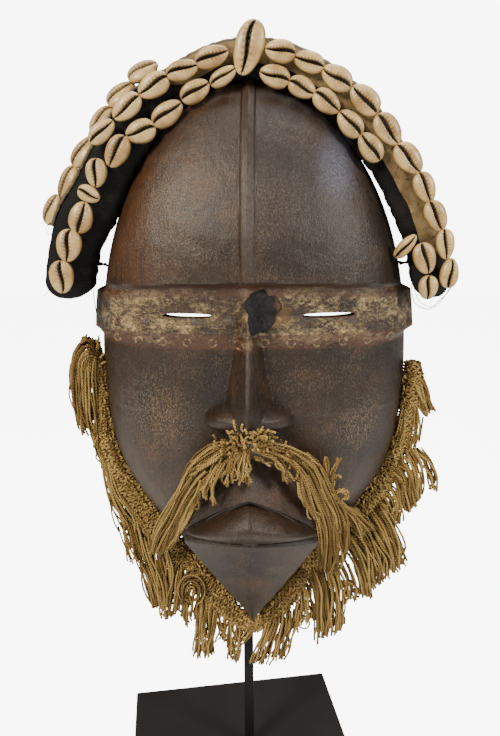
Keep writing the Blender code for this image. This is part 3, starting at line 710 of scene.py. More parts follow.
def clothLook():
    # Black ribbed cotton, its ribs across the roll
    look = Look("blackCloth")
    uv = look.make("UVMap", {}, uv_map="UVMap")
    spot = look.spot()
    ribs = (look.axis(uv, "Y") * (2 * math.pi * 300)).wave() * 0.5 + 0.5
    threads = (look.axis(uv, "X") * (2 * math.pi * 130)).wave() * 0.5 + 0.5
    dust = look.noise(spot, 900, 3, 0.7)
    fade = look.noise(spot, 60, 3)
    colour = look.mix(ribs, clothPaint["cloth"], clothPaint["ribs"])
    colour = look.mix(fade.between(0.45, 0.7) * 0.4, colour, clothPaint["faded"])
    colour = look.mix(dust.between(0.70, 0.8) * 0.4, colour, clothPaint["dust"])
    normal = look.bump(ribs * 0.7 + threads * 0.2 + dust * 0.2, 0.0004, 0.8)
    return look.finish(colour, 0.92, normal, Specular_IOR_Level=0.1)


stripPaint = {
    "strip": paint(124, 104, 72),
    "stain": paint(92, 75, 48),
    "patches": paint(78, 60, 38),
    "outside": paint(92, 90, 82),
    "fold": paint(40, 35, 28),
    "speck": paint(40, 33, 25),
}


def stripLook():
    # Tan cotton, stained and dirty at its edges, with a black sewing line
    look = Look("tanStrip")
    uv = look.make("UVMap", {}, uv_map="UVMap")
    spot = look.spot()
    stain = look.noise(spot, 130, 5, 0.65)
    patches = look.noise(spot, 34, 3)
    weave = look.noise(look.scaled(spot, (1, 1, 1)), 1400, 2)
    share = look.axis(uv, "X")
    colour = look.mix(stain.between(0.35, 0.65), stripPaint["strip"], stripPaint["stain"])
    colour = look.mix(patches.between(0.5, 0.66) * 0.6, colour, stripPaint["patches"])
    outside = 1 - share.between(0.55, 0.66)
    colour = look.mix(outside * 0.6, colour, stripPaint["outside"])
    fold = share.near(0.645, 0.01, 0.012) + share.near(0.56, 0.008, 0.01)
    colour = look.mix(fold.least(1) * 0.7, colour, stripPaint["fold"])
    speck = look.noise(spot, 520, 3, 0.7).between(0.62, 0.7)
    colour = look.mix(speck * 0.8, colour, stripPaint["speck"])
    normal = look.bump(weave * 0.6 + stain - fold, 0.0005, 0.7)
    return look.finish(colour, 0.85, normal, Specular_IOR_Level=0.15)


shellPaint = {
    "shell": paint(184, 154, 100),
    "tan": paint(146, 116, 68),
    "patches": paint(124, 86, 44),
    "specks": paint(96, 64, 36),
    # painted shade between the teeth, towards the foot and over the back
    "tooth": paint(58, 38, 22),
    # painted shade in the slit
    "deep": paint(12, 8, 6),
}


def shellLook():
    # Cream shell, browner in patches, with painted shade between the teeth, in the slit, towards its foot
    # and over its back
    look = Look("cowrieShell")
    spot = look.spot()
    deep = look.make("Attribute", {}, output="Fac", attribute_name="slitShade")
    tooth = look.make("Attribute", {}, output="Fac", attribute_name="toothShade")
    patches = look.noise(spot, 95, 4, 0.6)
    specks = look.noise(spot, 700, 3, 0.7)
    colour = look.mix(patches.between(0.4, 0.66), shellPaint["shell"], shellPaint["tan"])
    colour = look.mix(patches.between(0.6, 0.74) * 0.6, colour, shellPaint["patches"])
    colour = look.mix(specks.between(0.62, 0.72) * 0.6, colour, shellPaint["specks"])
    colour = look.mix(tooth * 0.9, colour, shellPaint["tooth"])
    colour = look.mix(deep, colour, shellPaint["deep"])
    normal = look.bump(patches * 0.4 + specks * 0.2, 0.0003, 0.5)
    return look.finish(colour, 0.32 + patches * 0.2, normal, Coat_Weight=0.15)


def cordLook(name, light, dark):
    # Twisted plant-fibre cord: slanting plies with painted shade in the grooves between them, and fuzz
    look = Look(name)
    uv = look.make("UVMap", {}, uv_map="UVMap")
    spot = look.spot()
    strand = look.make("Attribute", {}, output="Fac", attribute_name="tone")
    turns = look.axis(uv, "X") * 2 + look.axis(uv, "Y") / 1.9
    ply = (turns * (2 * math.pi)).wave() * 0.5 + 0.5
    tone = look.noise(spot, 110, 3, 0.6)
    fuzz = look.noise(spot, 2600, 2, 0.7)
    colour = look.mix((strand * 0.75 + tone * 0.5).between(0.25, 0.95), light, dark)
    # painted shade in the grooves between the plies
    colour = look.mix((1 - ply.between(0.0, 0.45)) * 0.75, colour, paint(48, 36, 18))
    colour = look.mix(fuzz.between(0.55, 0.75) * 0.3, colour, paint(196, 168, 110))
    normal = look.bump(ply + fuzz * 0.4, 0.0004, 0.8)
    return look.finish(colour, 0.88, normal, Specular_IOR_Level=0.12)


def threadLook():
    look = Look("blackThread")
    spot = look.spot()
    fuzz = look.noise(spot, 1500, 3)
    colour = look.mix(fuzz, paint(18, 17, 17), paint(56, 52, 48))
    return look.finish(colour, 0.8, look.bump(fuzz, 0.0002), Specular_IOR_Level=0.1)


basePaint = {
    "base": paint(26, 24, 23),
    "cloud": paint(34, 32, 31),
    "fine": paint(56, 52, 48),
    "scratch": paint(100, 96, 90),
}


def baseLook():
    # Satin black paint with fine scratches and dust
    look = Look("blackBase")
    spot = look.spot()
    cloud = look.noise(spot, 30, 3)
    fine = look.noise(spot, 1800, 3, 0.6)
    turned = look.make("Mapping", {"Vector": spot, "Rotation": (0, 0, 0.6), "Scale": (900, 40, 40)})
    scratch = look.noise(turned, 1, 2, 0.5).between(0.7, 0.76) * cloud.between(0.5, 0.7)
    colour = look.mix(cloud, basePaint["base"], basePaint["cloud"])
    colour = look.mix(fine.between(0.6, 0.75) * 0.3, colour, basePaint["fine"])
    colour = look.mix(scratch * 0.5, colour, basePaint["scratch"])
    normal = look.bump(fine, 0.0002, 0.3)
    return look.finish(colour, 0.45 + cloud * 0.2, normal, Specular_IOR_Level=0.2)


def steelLook():
    look = Look("blackSteel")
    spot = look.spot()
    streak = look.noise(look.scaled(spot, (900, 900, 60)), 1, 3)
    colour = look.mix(streak, paint(8, 8, 9), paint(18, 17, 17))
    normal = look.bump(streak, 0.0002, 0.4)
    return look.finish(colour, 0.42 + streak * 0.2, normal, Specular_IOR_Level=0.25)


# The carved mask

def frontPlaces(column, row, columns, rows):
    even = 2 * column / (columns - 1) - 1
    s = np.sin(math.pi / 2 * np.copysign(np.abs(even) ** 1.2, even))
    s = np.clip(s, -1, 1)
    share = row / (rows - 1)
    up = mask["top"] * (share - 0.012 * np.sin(2 * math.pi * share))
    lowered = up
    for _ in range(5):
        lowered = np.clip(up - mouthWarp(s * halfWidth(lowered), up), 0.5, None)
    lowered = np.where((share > 0) & (share < 1), lowered, up)
    return s, lowered


def hollowPlaces(s, up):
    wall, top = mask["wall"], mask["top"]
    drawn = wall * 1.3 + (top - wall - wall * 1.3) * up / top
    across = s * plainHalfWidth(up) * (1 - wall / mask["halfWidth"])
    deepest = along([(0, 6), (30, 20), (75, 35), (110, 40), (150, 42), (200, 43.5), (215, 45)], up)
    closing = np.clip((up - 215) / (top - 215), 0, 1)
    deepest = deepest * np.sqrt(np.clip(1 - closing**1.8, 0, 1))
    forward = deepest * np.sqrt(np.clip(1 - np.abs(s) ** 2.3, 0, 1))
    return place(across, forward, drawn)


def cutAway(target, cutter):
    select(target)
    cut = target.modifiers.new("cut", "BOOLEAN")
    cut.operation = "DIFFERENCE"
    cut.object = cutter
    bpy.ops.object.modifier_apply(modifier=cut.name)
    bpy.data.objects.remove(cutter)


def makeMask(look, inside):
    # The hollow carving at full detail, with its eye slits cut through
    columns, rows = mask["columns"], mask["rows"]
    thing, column, row = addGrid("maskWood", columns, rows)
    s, up = frontPlaces(column, row, columns, rows)
    across = s * halfWidth(up)
    depth = carving(s, up)
    dents = np.sin(across * 0.21 + 3 * np.sin(up * 0.11)) * np.sin(up * 0.17 + 2 * np.sin(across * 0.07))
    depth = depth + 0.12 * dents * np.clip(1 - np.abs(s) ** 6, 0, 1)
    setPlaces(thing.data, place(across, depth, up))
    closeRim(thing)
    hollow, column, row = addGrid("hollow", 61, 81)
    s = np.sin(math.pi / 2 * (2 * column / 60 - 1))
    setPlaces(hollow.data, hollowPlaces(s, mask["top"] * row / 80))
    closeRim(hollow, 6 * mm)
    cutAway(thing, hollow)
    for near, far in mask["slits"]:
        bpy.ops.mesh.primitive_cylinder_add(vertices=32, radius=1, depth=1)
        slit = bpy.context.object
        for vert in slit.data.vertices:
            across = (near + far) / 2 + vert.co.x * (far - near) / 2
            above = math.copysign(abs(vert.co.y) ** 0.7, vert.co.y) * mask["slitHalf"]
            vert.co = place(across, 70 if vert.co.z > 0 else 0, mask["slit"] + above)
        cutAway(thing, slit)
    smooth(thing, 35)
    finishPiece(thing, [look, inside], "dark_wood", "mask_carving")
    markHollow(thing.data)
    return thing


def markHollow(mesh):
    # Gives the faces behind the front surface the bare inside wood
    count = len(mesh.polygons)
    middles = np.zeros(count * 3, np.float32)
    mesh.polygons.foreach_get("center", middles)
    middles = middles.reshape(-1, 3)
    across = (middles[:, 0] - mask["aside"]) / mm
    forward = (mask["rim"] - middles[:, 1]) / mm
    up = (middles[:, 2] - mask["chin"]) / mm
    behind = (forward < woodDepth(across, up) - 3) & (forward > 0.05)
    mesh.polygons.foreach_set("material_index", behind.astype(np.int32))


resin = {"across": 7, "up": 195, "wide": 8.3, "tall": 10.5, "thick": 1.9, "lumps": 0.6}


def makeResin(look):
    # The crust on the bridge, a lumpy drop pressed on the wood
    bpy.ops.mesh.primitive_uv_sphere_add(segments=48, ring_count=24, radius=1)
    thing = bpy.context.object
    thing.name = "resinCrust"
    ball = np.array([vert.co for vert in thing.data.vertices])
    ring = np.arctan2(ball[:, 1], ball[:, 0])
    lobes = 1 + 0.12 * np.sin(3 * ring + 0.6) + 0.08 * np.sin(5 * ring) + 0.05 * np.sin(9 * ring + 1)
    across = resin["across"] + ball[:, 0] * lobes * resin["wide"]
    up = resin["up"] + ball[:, 1] * lobes * resin["tall"]
    bumps = np.sin(across * 2.3 + 2 * np.sin(up)) * np.sin(up * 2.1 + np.sin(across * 1.7))
    crust = 0.2 + resin["thick"] * np.clip(ball[:, 2], 0, 1) ** 0.7
    crust = crust + resin["lumps"] * bumps * ball[:, 2]
    lift = np.where(ball[:, 2] > 0, crust, 0.2 + ball[:, 2] * 0.4)
    setPlaces(thing.data, place(across, woodDepth(across, up) + lift, up))
    mergeAndTurnOut(thing)
    smooth(thing, 60)
    return finishPiece(thing, look, "resin", "resin_lump")


# The headdress, in angles about a centre behind the eyes: 0 is straight up

roll = {
    "front": 26,
    "back": 4,
    "lean": 5,
    "gapTop": 0.8,
    "gapEnd": 3.7,
    "pressed": 3,
    "fuller": 4.5,
    "widerLeft": 3,
    "outer": [(0, 19), (11, 21.3), (31, 23.5), (55, 24.5), (65, 26.5), (92, 27.5)],
    "end": 92,
    "strip": 1.8,
    "stripFrom": -71,
    "stripTo": 78,
}


def onArch(angle, radius, forward):
    turned = np.radians(angle)
    across = radius * np.sin(turned)
    up = mask["archLevel"] + radius * np.cos(turned)
    return place(across, forward, up)


def rimRadius(angle):
    # Distance from the arch's centre to the wood's edge, found by halving
    turned = np.radians(np.asarray(angle, float))
    low, high = np.zeros_like(turned), np.full_like(turned, mask["top"])
    for _ in range(40):
        middle = (low + high) / 2
        up = mask["archLevel"] + middle * np.cos(turned)
        inside = (up < mask["top"]) & (middle * np.abs(np.sin(turned)) < plainHalfWidth(up))
        low, high = np.where(inside, middle, low), np.where(inside, high, middle)
    return low


def rollSpan(angle):
    # Inner and outer radius of the cloth roll at an angle
    angle = np.asarray(angle, float)
    rim = rimRadius(angle)
    openShare = step(50, 80, np.abs(angle))
    inner = rim + roll["gapTop"] + (roll["gapEnd"] - roll["gapTop"]) * openShare
    inner = inner - roll["pressed"] * step(-74, -62, angle) * (1 - step(34, 50, angle))
    outer = rim + along(roll["outer"], np.abs(angle))
    outer = outer + roll["widerLeft"] * step(55, 70, -angle) + roll["fuller"] * step(18, 34, -angle)
    return inner, outer - roll["strip"]


def rollPlace(angle, around, grow=0.0, shrink=1.0):
    # A place on the roll's section: around 0 is the outer side and 90 the front
    inner, outer = rollSpan(angle)
    turned = np.radians(around)
    halfAcross = (outer - inner) / 2 * shrink + grow
    halfDeep = (roll["front"] + roll["back"]) / 2 * shrink + grow
    c, s = np.cos(turned), np.sin(turned)
    reach = (np.abs(c) ** 3 + np.abs(s) ** 3) ** (-1 / 3)
    forward = (roll["front"] - roll["back"]) / 2 + halfDeep * s * reach
    leaning = roll["lean"] * (np.maximum(forward, 0) / roll["front"]) ** 2
    radius = (inner + outer) / 2 + halfAcross * c * reach - leaning
    return onArch(angle, radius, forward)


def addUv(mesh, values):
    # A UV map from one pair for each vertex
    layer = mesh.uv_layers.get("UVMap") or mesh.uv_layers.new(name="UVMap")
    corners = np.zeros(len(mesh.loops), np.int32)
    mesh.loops.foreach_get("vertex_index", corners)
    layer.data.foreach_set("uv", np.asarray(values, np.float32)[corners].ravel())


def makeRoll(look):
    # The padded roll: rounded closed ends, slight wrinkles where it bends
    spans, around = 260, 48
    thing, column, row = addGrid("clothRoll", around + 1, spans + 1)
    share = row / spans
    angle = -roll["end"] + 2 * roll["end"] * share
    turn = 360 * (column % around) / around
    fromEnd = np.minimum(share, 1 - share) * spans
    shrink = np.sqrt(np.clip(1 - (1 - np.clip(fromEnd / 9, 0, 1)) ** 2, 0, 1)) * 0.97 + 0.02
    creases = np.sin(angle * 1.05 + 1.3 * np.sin(angle * 0.31) + 0.8 * np.sin(np.radians(turn) * 2))
    inwards = 0.35 + 0.65 * np.clip(-np.cos(np.radians(turn)), 0, 1)
    grow = 0.35 * creases * inwards - 0.4
    setPlaces(thing.data, rollPlace(angle, turn, grow, shrink))
    addUv(thing.data, np.stack([column / around, share], 1))
    closeRim(thing)
    smooth(thing, 60)
    finishPiece(thing, look, "black_cloth", "headdress_roll")
    return thing


# Turns round the roll, in degrees: to the front edge, to the far edge, the part that the
# narrow end lacks, and the whole width
hideStrip = {"front": 91, "back": 60, "narrower": 60, "width": 152}


def makeStrip(look):
    # The tan strip over the outer half of the roll, a thin turned-in cloth
    spans, columns = 200, 41
    thing, column, row = addGrid("tanStrip", columns, spans + 1)
    share, side = row / spans, column / (columns - 1)
    waver = 1.6 * np.sin(share * 41) + 0.9 * np.sin(share * 97 + 1)
    angle = roll["stripFrom"] + (roll["stripTo"] - roll["stripFrom"]) * share
    front = hideStrip["front"] + waver - hideStrip["narrower"] * step(14, 28, -angle)
    turn = front - (front + hideStrip["back"] + waver) * side
    fold = np.exp(-(((turn - 38) / 4) ** 2))
    pucker = 0.18 * np.sin(angle * 2.3 + 4 * side) + 0.12 * np.sin(angle * 5.1)
    grow = 0.9 + 0.6 * fold + pucker
    setPlaces(thing.data, rollPlace(angle, turn, grow))
    widthShare = (turn + hideStrip["back"]) / hideStrip["width"]
    addUv(thing.data, np.stack([widthShare, share], 1))
    select(thing)
    wall = thing.modifiers.new("wall", "SOLIDIFY")
    wall.thickness = 0.8 * mm
    wall.offset = 1
    bpy.ops.object.modifier_apply(modifier=wall.name)
    mergeAndTurnOut(thing)
    smooth(thing, 50)
    return finishPiece(thing, look, "tan_strip", "headdress_strip")


# Cowries: each lies where its CAD node lies, with a toothed slit in its face

def shellAxes(node):
    # Centre, three axes and half sizes of a CAD shell, from its own points
    spots = np.array([vert.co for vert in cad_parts[node].data.vertices], float)
    spots = np.unique(np.round(spots, 7), axis=0)
    middle = spots.mean(0)
    vectors = np.linalg.eigh(np.cov((spots - middle).T))[1]
    normal, side, length = vectors[:, 0], vectors[:, 1], vectors[:, 2]
    outwards = middle - np.array(place(0, 8, mask["archLevel"]))
    outwards = outwards / np.linalg.norm(outwards) * 0.4 + np.array([0, -1, 0])
    normal = normal * np.sign(normal @ outwards)
    length = length * (1 if length[0] + 0.3 * length[2] > 0 else -1)
    side = np.cross(normal, length)
    axes = np.stack([length, side, normal])
    local = (spots - middle) @ axes.T
    low, high = local.min(0), local.max(0)
    centre = middle + (low + high) / 2 @ axes
    return centre, axes, (high - low) / 2


cowrie = {
    "segments": 52,
    "rings": 56,
    "teeth": (8.5, 10.5),
    "slit": 0.095,
    "widens": 0.065,
    "bite": 0.34,
    "stretch": np.array([1.1, 1.03, 1.1]),
    "backStretch": np.array([1.25, 1.4, 1.2]),
    "backTurn": 1.1,
    "spin": 5,
    "lean": 6,
}


def turnedForward(axes):
    # The shells behind the left rows show more of their faces than their solids do
    length = axes[0]
    normal = axes[2] + np.array([0, -cowrie["backTurn"], 0])
    normal = normal - length * (normal @ length)
    normal = normal / np.linalg.norm(normal)
    return np.stack([length, np.cross(normal, length), normal])


def makeShell(node, look, dice):
    # A cowrie like a coffee bean: two lips pinched at both ends, and teeth in the slit
    bpy.ops.mesh.primitive_uv_sphere_add(
        segments=cowrie["segments"], ring_count=cowrie["rings"], radius=1
    )
    thing = bpy.context.object
    thing.name = "shell_" + node.removeprefix("cowrie_")
    ball = np.array([vert.co for vert in thing.data.vertices])
    end = ball[:, 2]
    turn = np.arctan2(ball[:, 1], ball[:, 0])
    radial = np.hypot(ball[:, 0], ball[:, 1])
    centre, axes, half = shellAxes(node)
    behind = node.startswith("cowrie_left_back")
    if behind:
        axes = turnedForward(axes)
    broad = dice.choice((-1, 1))
    plump = radial**0.92 * (1 + 0.12 * end * broad)
    quarter = math.pi / 2
    front = np.abs(turn) <= quarter + 0.001
    lane = np.sign(turn) * (np.minimum(np.abs(turn), quarter) / quarter) ** 1.45
    drift = dice.uniform(0.05, 0.14) * np.sin(end * 2.3) * broad + dice.uniform(-0.1, 0.1)
    across = np.where(front, drift + lane * (1 - np.sign(lane) * drift), np.sin(turn))
    teeth = np.sin(end * math.pi * dice.uniform(*cowrie["teeth"]) + np.sign(lane) * 0.8)
    fromSlit = np.abs(across - drift)
    gap = cowrie["slit"] + cowrie["widens"] * (end * broad + 1) / 2
    gap = gap * (1 + cowrie["bite"] * teeth)
    lip = np.exp(-((fromSlit / 0.27) ** 2))
    sunk = 1 - step(0.6, 1.35, fromSlit / gap)
    beside = np.exp(-(((fromSlit - gap) / 0.26) ** 2)) * (fromSlit > gap * 0.8)
    domed = np.sqrt(np.clip(1 - across**2, 0, 1)) ** 0.85
    rise = plump * (1.12 * domed - 0.26 * lip + 0.05 * teeth * beside - 0.75 * sunk)
    rise = np.where(front, rise, plump * np.cos(turn) * 0.75)
    pinch = np.exp(-((fromSlit / 0.3) ** 2)) * step(0.75, 1.0, np.abs(end)) * front
    spots = np.stack([end * (1 - 0.08 * pinch), across * plump, rise], 1)
    spots = spots * half * cowrie["backStretch" if behind else "stretch"]
    spin = Matrix.Rotation(math.radians(dice.uniform(-1, 1) * cowrie["spin"]), 3, "Z")
    lean = Matrix.Rotation(math.radians(dice.uniform(-1, 1) * cowrie["lean"]), 3, "X")
    spots = spots @ np.array(spin @ lean).T
    setPlaces(thing.data, spots @ axes + centre)
    # painted shade in the grooves between the teeth, and painted shade towards the shell's foot and over
    # its back
    between = np.clip(-teeth * 1.3, 0, 1) * np.clip(beside * 1.2, 0, 1)
    footShade = 0.75
    under = footShade * (1 - np.clip(rise / np.maximum(plump, 0.2) / 0.55, 0, 1))
    for name, shade in (
        ("slitShade", np.where(front, np.clip(sunk * 1.6, 0, 1), 0)),
        ("toothShade", np.where(front, np.maximum(between, under), footShade)),
    ):
        layer = thing.data.attributes.new(name, "FLOAT", "POINT")
        layer.data.foreach_set("value", shade.astype(np.float32))
    thing.data.shade_smooth()
    work = bmesh.new()
    work.from_mesh(thing.data)
    if work.calc_volume(signed=True) < 0:
        bmesh.ops.reverse_faces(work, faces=work.faces)
    work.to_mesh(thing.data)
    work.free()
    return finishPiece(thing, look, "shell", node)


# Beard and moustache. A lock is drawn by stations across it from root to tip:
# its two edges in the photograph's pixels and how far it stands before the rim

braid = {
    "left": [
        (97, 341, 84, 335), (105, 362, 91, 362), (108.5, 390, 95, 392), (110, 412, 96, 414),
        (115, 431, 98, 433), (122, 453, 103, 455), (133, 473, 112, 475),
        (144, 489, 119, 493),
        (157, 507, 134, 516), (171, 524, 148, 538),
        (184, 540, 166, 556), (206, 555, 188, 569), (218, 574, 200, 588),
        (228, 590, 209, 604), (238, 605, 223, 615), (249, 618, 241, 627), (254, 621, 254, 630),
    ],
    "right": [
        (254, 621, 254, 630), (260, 614, 262, 628), (267, 602, 276, 618), (276, 587, 291, 605),
        (286, 575, 302, 590), (300, 558, 316, 573), (313, 543, 330, 559), (336, 522, 352, 537),
        (356, 500, 368, 516), (366, 486, 383, 499), (379, 469, 394, 479), (386, 452, 400, 460),
        (392, 438, 408, 443), (396, 427, 412, 430), (400, 412, 414, 414), (401, 395, 421, 396),
        (403, 374, 423, 376), (406, 359, 419, 360),
    ],
    "forward": 9,
    "depth": 7,
    "lanes": 12,
    "stitches": 520,
}

# Each lock: strands, depth in millimetres, how much the strands wander across
# it, how late they may start, and its stations
beardLocks = [
    (34, 7, 0.2, 0.3, [(84, 334, 101, 336, 12), (72, 362, 99, 368, 13), (71, 392, 98, 400, 12),
                       (77, 420, 97, 428, 11), (82, 434, 98, 436, 10)]),
    (26, 5, 0.25, 0.2, [(98, 352, 100, 364, 13), (87, 339, 93, 356, 16), (76, 350, 86, 362, 16),
                        (71, 374, 85, 380, 14), (71, 402, 86, 406, 12), (77, 424, 91, 430, 10)]),
    (16, 5, 0.2, 0.3, [(96, 396, 104, 400, 12), (95, 420, 103, 424, 11), (98, 446, 106, 450, 10)]),
    (8, 3, 0.2, 0.2, [(88, 428, 96, 430, 9), (96, 449, 101, 449, 9), (103, 470, 108, 468, 8)]),
    (46, 5, 0.16, 0.75, [(101, 448, 106, 446, 9), (105, 478, 116, 476, 10), (107, 492, 124, 493, 10),
                         (111, 505, 135, 507, 10), (117, 518, 147, 525, 10), (126, 536, 155, 543, 9)]),
    (6, 2, 0.3, 0.3, [(116, 520, 126, 524, 8), (124, 545, 133, 548, 8), (128, 563, 137, 565, 8)]),
    (62, 7, 0.2, 0.35, [(124, 506, 162, 526, 9), (130, 540, 168, 550, 11), (143, 572, 173, 580, 10),
                        (154, 607, 170, 606, 9)]),
    (40, 6, 0.2, 0.3, [(160, 540, 192, 562, 9), (161, 578, 184, 588, 10), (164, 621, 178, 613, 9)]),
    (10, 3, 0.2, 0.2, [(178, 580, 190, 584, 8), (182, 604, 189, 608, 8), (183, 618, 188, 628, 8)]),
    (38, 5, 0.18, 0.3, [(198, 580, 220, 592, 9), (197, 620, 215, 624, 10), (194, 656, 212, 656, 9)]),
    (10, 3, 0.25, 0.3, [(214, 600, 230, 610, 9), (217, 624, 227, 630, 9), (218, 641, 226, 641, 8)]),
    (24, 4, 0.2, 0.3, [(227, 608, 245, 620, 9), (227, 634, 241, 643, 9), (228, 651, 236, 665, 8)]),
    (10, 3, 0.2, 0.3, [(242, 620, 256, 624, 9), (238, 632, 250, 636, 9), (234, 642, 241, 645, 8)]),
    (48, 6, 0.12, 0.3, [(270, 610, 298, 596, 10), (265, 628, 297, 622, 11), (257, 648, 291, 641, 10),
                        (251, 665, 285, 659, 8)]),
    (24, 5, 0.18, 0.3, [(296, 588, 311, 582, 10), (297, 610, 313, 604, 10), (296, 630, 313, 618, 9)]),
    (54, 7, 0.1, 0.25, [(305, 566, 332, 554, 10), (313, 588, 341, 584, 12), (315, 616, 343, 608, 11),
                        (315, 642, 342, 630, 9)]),
    (20, 5, 0.3, 0.3, [(325, 560, 343, 552, 10), (338, 578, 353, 576, 10), (344, 592, 358, 590, 9),
                       (343, 602, 357, 600, 8)]),
    (26, 5, 0.12, 0.3, [(336, 520, 346, 552, 11), (352, 532, 354, 566, 12), (364, 556, 359, 582, 10),
                        (373, 598, 361, 596, 8)]),
    (88, 8, 0.1, 0.15, [(336, 526, 378, 498, 9), (352, 546, 392, 520, 13), (364, 572, 402, 546, 11),
                        (370, 592, 405, 563, 9)]),
    (70, 4, 0.2, 0.1, [(338, 524, 380, 496, 7), (354, 546, 393, 520, 8), (364, 568, 400, 546, 8),
                       (370, 584, 402, 556, 8)]),
    (34, 5, 0.16, 0.1, [(368, 498, 394, 466, 9), (382, 506, 402, 490, 11), (387, 520, 400, 524, 9)]),
    (60, 7, 0.14, 0.15, [(384, 470, 410, 442, 10), (396, 480, 421, 464, 12), (401, 496, 421, 486, 11),
                         (408, 513, 420, 498, 9)]),
    (28, 6, 0.16, 0.4, [(410, 370, 424, 380, 10), (417, 394, 430, 398, 11), (424, 417, 433, 410, 9)]),
    (34, 5, 0.2, 0.4, [(402, 404, 418, 402, 11), (398, 430, 418, 430, 11), (390, 456, 412, 458, 10)]),
    (14, 4, 0.2, 0.2, [(87, 366, 97, 368, 10), (86, 392, 98, 396, 10), (86, 420, 99, 424, 9)]),
    (34, 4, 0.2, 0.2, [(174, 556, 214, 580, 8), (180, 588, 214, 602, 8), (182, 618, 206, 620, 8)]),
    (9, 3, 0.3, 0.3, [(410, 448, 418, 442, 10), (424, 462, 432, 462, 9), (427, 476, 437, 480, 8),
                      (430, 488, 436, 492, 8)]),
]

# Separate strands that curl or stick out, as pixels and distances forward
beardStrays = [
    [(423, 417, 10), (421, 430, 9), (419, 442, 9)],
    [(412, 452, 12), (422.5, 465.5, 12), (430.6, 475, 11), (435, 490, 10), (437, 486, 10),
     (435.5, 471, 11), (429, 462, 12), (414, 450, 12)],
    [(304, 618, 14), (309.5, 622, 14), (307, 628, 14), (301, 628, 14), (299.5, 622, 14), (304, 618, 13)],
    [(343, 580, 13), (352, 584, 14), (357, 592, 13), (350, 599, 13), (344, 594, 13), (347, 586, 14)],
    [(100, 358, 14), (104, 354, 14), (107, 353, 14)],
    [(101, 364, 14), (105, 362, 14), (108, 361, 14)],
    [(150, 556, 13), (143, 562, 14), (141, 569, 13), (146, 572, 13)],
    [(86, 338, 15), (79, 346, 16), (80, 356, 15), (92, 362, 14)],
    [(92, 340, 15), (82, 350, 16), (78, 362, 15)],
    [(427, 470, 10), (433, 480, 9), (429, 489, 9)],
]

moustacheLocks = [
    (52, 6, 0.2, 0.55, [(236, 440, 246, 452, 71), (215, 445, 232, 468, 67), (196, 458, 215, 480, 61),
                        (178, 487, 196, 500, 48), (165, 510, 187, 520, 37), (155, 532, 176, 540, 29),
                        (150, 555, 168, 552, 24)]),
    (12, 4, 0.2, 0.2, [(228, 442, 222, 456, 69), (210, 450, 206, 466, 65), (192, 461, 190, 476, 58)]),
    (4, 2, 0.2, 0.1, [(236, 444, 240, 447, 72), (229, 462, 233, 463, 71), (224, 483, 227, 486, 69)]),
    (5, 2, 0.2, 0.1, [(238, 445, 243, 447, 72), (233, 464, 238, 465, 71), (230, 483, 233, 486, 69)]),
    (5, 2, 0.2, 0.1, [(242, 446, 247, 447, 72), (239, 464, 244, 465, 71), (239, 481, 243, 483, 69)]),
    (5, 2, 0.2, 0.1, [(246, 446, 251, 447, 72), (245, 464, 249, 465, 71), (246, 483, 249, 485, 69)]),
    (5, 2, 0.2, 0.1, [(222, 458, 226, 464, 69), (212, 480, 216, 482, 65), (211, 502, 214, 505, 60)]),
    (5, 2, 0.2, 0.1, [(216, 460, 220, 466, 67), (206, 480, 210, 482, 62), (203, 497, 206, 500, 58)]),
    (4, 2, 0.2, 0.1, [(200, 478, 204, 482, 60), (195, 496, 199, 498, 54), (191, 508, 195, 511, 50)]),
    (14, 3, 0.2, 0.2, [(252, 445, 256, 453, 71), (268, 449, 270, 457, 69), (284, 462, 282, 470, 65),
                       (289, 484, 284, 482, 62)]),
    (3, 2, 0.2, 0.1, [(253, 456, 255, 459, 70), (262, 459, 264, 462, 69), (270, 464, 271, 466, 67)]),
    (54, 6, 0.2, 0.55, [(252, 447, 262, 440, 71), (283, 458, 292, 447, 66), (299, 476, 318, 462, 57),
                        (309, 500, 332, 490, 47), (319, 526, 345, 522, 37), (319, 560, 344, 565, 26),
                        (320, 568, 342, 572, 22)]),
    (12, 3, 0.2, 0.2, [(296, 474, 304, 472, 60), (300, 496, 306, 494, 54), (313, 518, 319, 520, 44)]),
    (26, 4, 0.14, 0.3, [(322, 484, 338, 500, 46), (336, 500, 350, 510, 38), (352, 520, 360, 514, 28),
                        (362, 540, 372, 528, 20)]),
    (6, 2, 0.2, 0.1, [(322, 484, 326, 484, 50), (323, 470, 328, 470, 54), (323, 456, 328, 455, 56)]),
    (4, 2, 0.2, 0.1, [(328, 480, 331, 482, 50), (332, 468, 335, 470, 52), (338, 458, 341, 459, 53)]),
    (4, 2, 0.2, 0.1, [(330, 488, 333, 490, 48), (335, 476, 337, 478, 50), (339, 476, 342, 480, 50)]),
    (5, 2, 0.2, 0.1, [(326, 492, 328, 496, 46), (337, 490, 339, 493, 46), (347, 488, 349, 491, 45)]),
    (3, 2, 0.2, 0.1, [(348, 490, 349, 492, 45), (343, 496, 345, 498, 44), (337, 500, 340, 502, 43)]),
]

# Tufts: stubs, the patch that they stand on, and their length in millimetres
moustacheTufts = [
    (70, [(233, 430, 271, 430, 74), (234, 448, 272, 450, 72)], 9),
    (26, [(213, 437, 230, 440, 67), (220, 452, 238, 452, 69)], 10),
    (20, [(272, 440, 290, 448, 66), (274, 454, 300, 468, 63)], 10),
]
beardTuft = (90, [(187, 550, 206, 556, 12), (188, 563, 208, 572, 12)], 7)

swirl = {"middle": (192, 591), "strands": 18, "turns": 6, "first": 2, "spacing": 2.3, "begins": 215}

cords = {
    "thickness": 1.18 * mm,
    "knot": 1.35 * mm,
    "paint": (paint(172, 143, 86), paint(112, 88, 48)),
    # the braid core's darker cord, painted shade in the gaps between the knots
    "corePaint": (paint(104, 82, 46), paint(74, 58, 32)),
}


